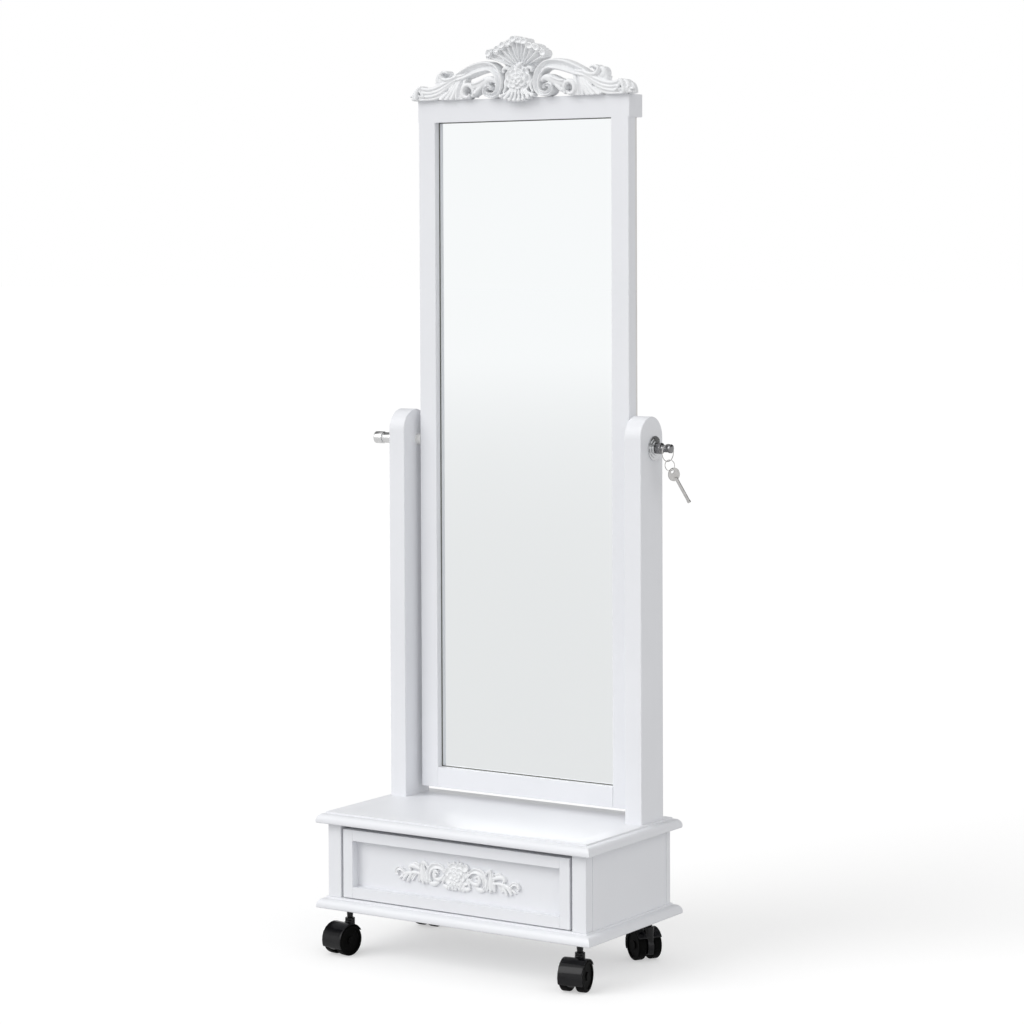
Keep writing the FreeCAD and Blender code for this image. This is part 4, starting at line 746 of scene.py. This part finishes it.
def spray():
    """Bands to the right of the rose, as (x, height over the rose's middle, width)."""
    top, low = PANEL_FACE - 5.0, PANEL_FACE - 3.6
    back = PANEL_FACE + 0.6
    return [
        band([(22, 4, 4), (29, 10.5, 8), (38, 12.5, 10), (47, 10, 11), (53, 2.5, 10), (53.5, -6, 8),
              (50, -13, 4)], top, back, 3.6, "cove", 60),
        band([(24, -1, 4), (31, -7.5, 6.5), (39.5, -8, 6.5), (44.5, -2, 6), (40.5, 4.0, 5),
              (35, 1.5, 3.5)], top + 0.3, back, 2.8, "round", 50),
        petal(39.5, -2.2, 2.2, top, back, -0.6),
        band([(34, -11.5, 5), (43, -16.5, 8.5), (51, -15.5, 6), (55, -10, 3)], low, back, 2.6),
        band([(12, -15, 4), (19, -18.5, 7), (26, -16, 4)], low, back, 2.4),
        band([(55.5, 8, 3), (59, 13, 4.5), (63.5, 15.5, 5), (66.5, 13, 3.5)], top - 0.2, back, 2.6),
        band([(64, 13, 4), (61.5, 2, 5.5), (58.5, -11, 6.5), (57, -17, 4)], top, back, 3.0, "cove", 40),
        band([(66, 13, 3.5), (65.5, 1, 5), (65, -13, 6.5), (64.5, -18.5, 4)], top - 0.2, back, 3.0),
        band([(68, 13.5, 4), (70, 2, 5), (71.5, -11, 6), (72, -16.5, 4)], top, back, 3.0, "cove", 40),
        band([(70, 4, 5), (79, 6.5, 6.5), (87, 7.5, 7), (91.5, 4, 5), (88, 0.5, 3.5)], top, back, 3.0),
        band([(72, 10, 3), (79, 12.5, 4), (84, 11.5, 3)], low, back, 2.2),
        band([(70, -3, 4), (81, -2.5, 5.5), (93, -4.5, 5.5), (104, -7.5, 4.5)], top + 0.2, back, 2.8),
        band([(78, -4, 3), (84, -10, 5.5), (87, -15, 4.5)], low, back, 2.4, "cove", 30),
        band([(86, -4, 3), (92, -12, 5.5), (95.5, -19, 4)], top + 0.2, back, 2.8),
        band([(93, -5, 3), (100, -11.5, 5), (104, -17.5, 4)], top + 0.2, back, 2.8),
        band([(99, -7, 3), (107, -11, 4.5), (112, -14.5, 3.5)], low, back, 2.4),
        band([(100, -5, 4), (107.5, 0.5, 6), (114.5, 0, 6), (117.0, -6, 5), (113, -8.5, 3)], top, back,
             2.8, "cove", 40),
    ]


def rose():
    """Rings of dished petals with a bud beside them, tips above and fluted petals below."""
    top, back = PANEL_FACE - 5.4, PANEL_FACE + 0.6
    parts = []
    for ring, (count, radius, size, front, dish) in enumerate(
            [(8, 16.2, 7.6, top + 1.9, 2.6), (6, 9.6, 6.6, top + 0.9, 2.4), (4, 4.4, 4.6, top, 2.0)]):
        for k in range(count):
            a = 2 * math.pi * (k + 0.5 * ring) / count + 0.45
            parts.append(petal(radius * 1.12 * math.cos(a), radius * 0.95 * math.sin(a), size,
                               front + 0.3 * (k % 2), back, dish, 0.85, a + math.pi / 2))
    parts.append(petal(16.5, 14.5, 6.8, top + 0.2, back, 2.8, 0.9, 0.6))
    parts.append(petal(22.5, 4.5, 3.0, top + 0.8, back, -0.8))
    for x, z, lean in ((-13, 14, -5), (-4, 17, -2), (2, 18, 1), (7, 17, 3)):
        parts.append(band([(x, z, 4), (x + 0.5 * lean, z + 3.5, 4.5), (x + lean, z + 5.5, 3)],
                          top + 1.2, back, 2.4))
    for x in (-17, -9.5, -2, 6, 13):
        parts.append(band([(x * 0.5, -9, 3), (x * 0.85, -16, 5.5), (x * 1.02, -22.5, 5.5)], top + 0.9,
                          back, 3.2, "cove", 40))
    parts.append(band([(-22, -4, 4), (-26, -9, 5), (-27, -14, 3)], top + 1.6, back, 2.4))
    parts.append(band([(19, -4, 4), (23, -9, 5), (24, -14, 3)], top + 1.6, back, 2.4))
    return parts


NARROWER, SIDEWAYS = 0.975, -2.5         # the casting sits a little left of the middle
right_spray = spray()
casting = rose() + right_spray + [mirror_part(part) for part in right_spray]
casting = [(points * np.array([NARROWER, 1, 1]) + np.array([SIDEWAYS, 0, ROSE_Z]), faces)
           for points, faces in casting]
applique = weld("drawer_rose", casting, 0.55, "drawer", "white_carving",
                ("drawer_applique",), passes=3)
points = mesh_points(applique.data)
points[:, 1] = np.minimum(points[:, 1], PANEL_FACE * MM)
put_points(applique.data, points)
print("drawer rose", len(applique.data.polygons), "faces")

# %% [markdown]
# ## Turned parts
# Knobs and rose plates are turned and plated, so their edges are slightly round and catch the
# light. A lathe surface is a profile turned about the pivot line: rows are the profile's
# points and columns the angles.

# %% Knobs and rose plates
PIVOT = np.array([0.0, 82.0, 803.5])     # a point on the line that the mirror tips about


def soft_profile(points, radius=0.5, steps=4):
    """Round each inner corner of a profile with a short quadratic curve of a few points."""
    p = np.asarray(points, float)
    before, here, after = p[:-2], p[1:-1], p[2:]
    to_before, to_after = before - here, after - here
    len_b = np.linalg.norm(to_before, axis=1, keepdims=True)
    len_a = np.linalg.norm(to_after, axis=1, keepdims=True)
    cut = np.minimum(radius, 0.45 * np.minimum(len_b, len_a))
    start, stop = here + to_before / len_b * cut, here + to_after / len_a * cut
    t = np.linspace(0, 1, steps)[None, :, None]
    curve = (1 - t) ** 2 * start[:, None] + 2 * t * (1 - t) * here[:, None] + t**2 * stop[:, None]
    return np.concatenate([p[:1], curve.reshape(-1, 2), p[-1:]])


def lathe(profile, around=64):
    """Points (distance along the axis, radius) turned about X; both ends are closed."""
    profile = np.asarray(profile, float)
    angle = np.linspace(0, 2 * np.pi, around, endpoint=False)
    x = np.repeat(profile[:, :1], around, 1)
    y = profile[:, 1:] * np.cos(angle)[None]
    z = profile[:, 1:] * np.sin(angle)[None]
    points = np.stack([x, y, z], -1).reshape(-1, 3)
    faces = grid_faces(len(profile), around, wrap_columns=True).tolist()
    end = (len(profile) - 1) * around
    faces += [list(range(around))[::-1], [end + i for i in range(around)]]
    return points, faces


FACE = 243.5                             # where a knob starts, outside its rose plate
right_knob = soft_profile([(FACE, 4.3), (FACE, 8.7), (FACE + 8.8, 8.7), (FACE + 8.8, 5.8), (FACE + 21.3, 5.8),
                           (FACE + 21.3, 6.9), (FACE + 25.8, 6.9), (FACE + 25.8, 0.3)], 0.9)
left_knob = soft_profile([(FACE, 4.3), (FACE, 8.7), (FACE + 30.5, 8.7), (FACE + 30.5, 7.4),
                          (FACE + 32.5, 7.4), (FACE + 32.5, 9.8), (FACE + 48.0, 9.8),
                          (FACE + 48.0, 0.3)], 1.2)
plate = soft_profile([(237.5, 4.2), (237.5, 19.0), (239.4, 19.0), (239.4, 15.3), (241.3, 15.3), (241.3, 11.6),
                      (243.2, 11.6), (243.2, 4.2)], 0.45)
for name, profile, body, node, mirror in (
        ("knob_right_turned", right_knob, "knob_right", "knob_right", False),
        ("knob_left_turned", left_knob, "knob_left", "knob_left", True),
        ("rose_plate_right", plate, "base", "escutcheon_right", False),
        ("rose_plate_left", plate, "base", "escutcheon_left", True)):
    part = lathe(profile)
    if mirror:
        part = mirror_part(part)
    piece = make_piece(name, part[0] + PIVOT, part[1], body, "chrome", (node,))
    # the right-hand knob gets the darkened chrome, a painted dark reflection; the left-hand knob gets satin
    # chrome
    if body != "base":
        piece.material_slots[0].link = "OBJECT"
        piece.material_slots[0].material = finishes["chrome_satin" if mirror else "chrome_painted_dark_reflection"]

# %% [markdown]
# ## Casters
# Twin-wheel casters are moulded from black plastic, so no edge of the hood is sharp. Each
# housing is the constructed shape made again as a fine skin of small cubes, which is then
# smoothed: a few passes pull every edge in to a radius of about two millimetres. The wheels
# keep their exact shape, because their bores have to turn freely round the axle.

# %% Softly moulded casters
CASTER_VOXEL = 0.85
for corner in ("front_left", "front_right", "rear_left", "rear_right"):
    node = "caster_" + corner + "_housing"
    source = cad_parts[node].data
    points, where = np.unique(np.round(mesh_points(source) / MM, 3), axis=0, return_inverse=True)
    where = where.ravel()
    faces = [where[list(face.vertices)].tolist() for face in source.polygons]
    faces = [face for face in faces if len(set(face)) > 2]
    slot = source.materials[0].name.split(".")[0]
    weld(node + "_soft", [(points, faces)], CASTER_VOXEL, "caster_" + corner, slot, (node,), passes=9)

# %% [markdown]
# ## Painted shade round the glass
# A thin dark strip runs round the glass where it meets the frame. It is painted shade: it stands
# in for the shadow in the gap there, and shows as a fine dark line on the side that faces the
# viewer. It is one closed ring: four corners of a small wedge section, joined to the next corner
# all the way round.

# %% The strip of painted shade round the glass
inner_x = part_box("mirror_stile_right")[0].x / MM
top_rail_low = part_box("mirror_head_rail")[0].z / MM
foot_rail_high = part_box("mirror_bottom_rail")[1].z / MM
glass_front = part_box("mirror_glass")[0].y / MM
corner_signs = np.array([(-1, 0), (1, 0), (1, 1), (-1, 1)], float)
wedge = np.array([(0.0, 0.4), (0.0, -1.2), (0.7, -1.1), (1.5, -0.4), (1.5, 0.4)])
x = corner_signs[:, :1] * (inner_x - wedge[None, :, 0])
z = np.where(corner_signs[:, 1:] > 0, top_rail_low - wedge[None, :, 0], foot_rail_high + wedge[None, :, 0])
y = np.repeat(glass_front + wedge[None, :, 1], 4, 0)
# painted shade: a dark strip put in the gap at the glass's edge, where there is only shadow
seal = make_piece("glass_edge_painted_shade", np.stack([x, y, z], -1).reshape(-1, 3),
                  grid_faces(4, len(wedge), True, True).tolist(), "mirror", "caster_black", smooth=False)
seal.material_slots[0].link = "OBJECT"
seal.material_slots[0].material = finishes["seal"]

# %% [markdown]
# ## The drawer's lining
# A felt pad lies loose on the drawer's bottom. It is a soft sheet pad with a slightly crowned
# top and rounded sides, so it is a grid whose height falls off near its edges.

# %% The felt pad
low, high = (np.array(corner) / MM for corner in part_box("drawer_lining"))
ROWS, COLUMNS = 61, 41
SQUARENESS = 40                          # how close to the edge the top stays level
u = np.sin(np.linspace(-np.pi / 2, np.pi / 2, ROWS))
v = np.sin(np.linspace(-np.pi / 2, np.pi / 2, COLUMNS))
gu, gv = np.meshgrid(u, v, indexing="ij")
mid, half = (low + high) / 2, (high - low) / 2
fall = (1 - np.abs(gu) ** SQUARENESS) ** 0.5 * (1 - np.abs(gv) ** SQUARENESS) ** 0.5
wave = 0.12 * np.sin(gu * 9.0) * np.sin(gv * 7.0 + 1.0)
top_z = mid[2] + half[2] * (0.85 * fall + wave * fall)
base_z = np.full_like(top_z, low[2])
upper = np.stack([mid[0] + half[0] * gu, mid[1] + half[1] * gv, top_z], -1).reshape(-1, 3)
lower = np.stack([mid[0] + half[0] * gu, mid[1] + half[1] * gv, base_z], -1).reshape(-1, 3)
count = len(upper)
faces = grid_faces(ROWS, COLUMNS)
rim = np.concatenate([np.arange(COLUMNS), np.arange(1, ROWS) * COLUMNS + COLUMNS - 1,
                      (ROWS - 1) * COLUMNS + np.arange(COLUMNS - 2, -1, -1),
                      np.arange(ROWS - 2, 0, -1) * COLUMNS])
following = np.roll(rim, -1)
sides = np.stack([rim, following, following + count, rim + count], 1)
all_faces = np.concatenate([faces, faces[:, ::-1] + count, sides]).tolist()
pad = make_piece("felt_pad", np.concatenate([upper, lower]), all_faces, "drawer", "felt", ("drawer_lining",))
print("felt pad", len(pad.data.polygons), "faces")
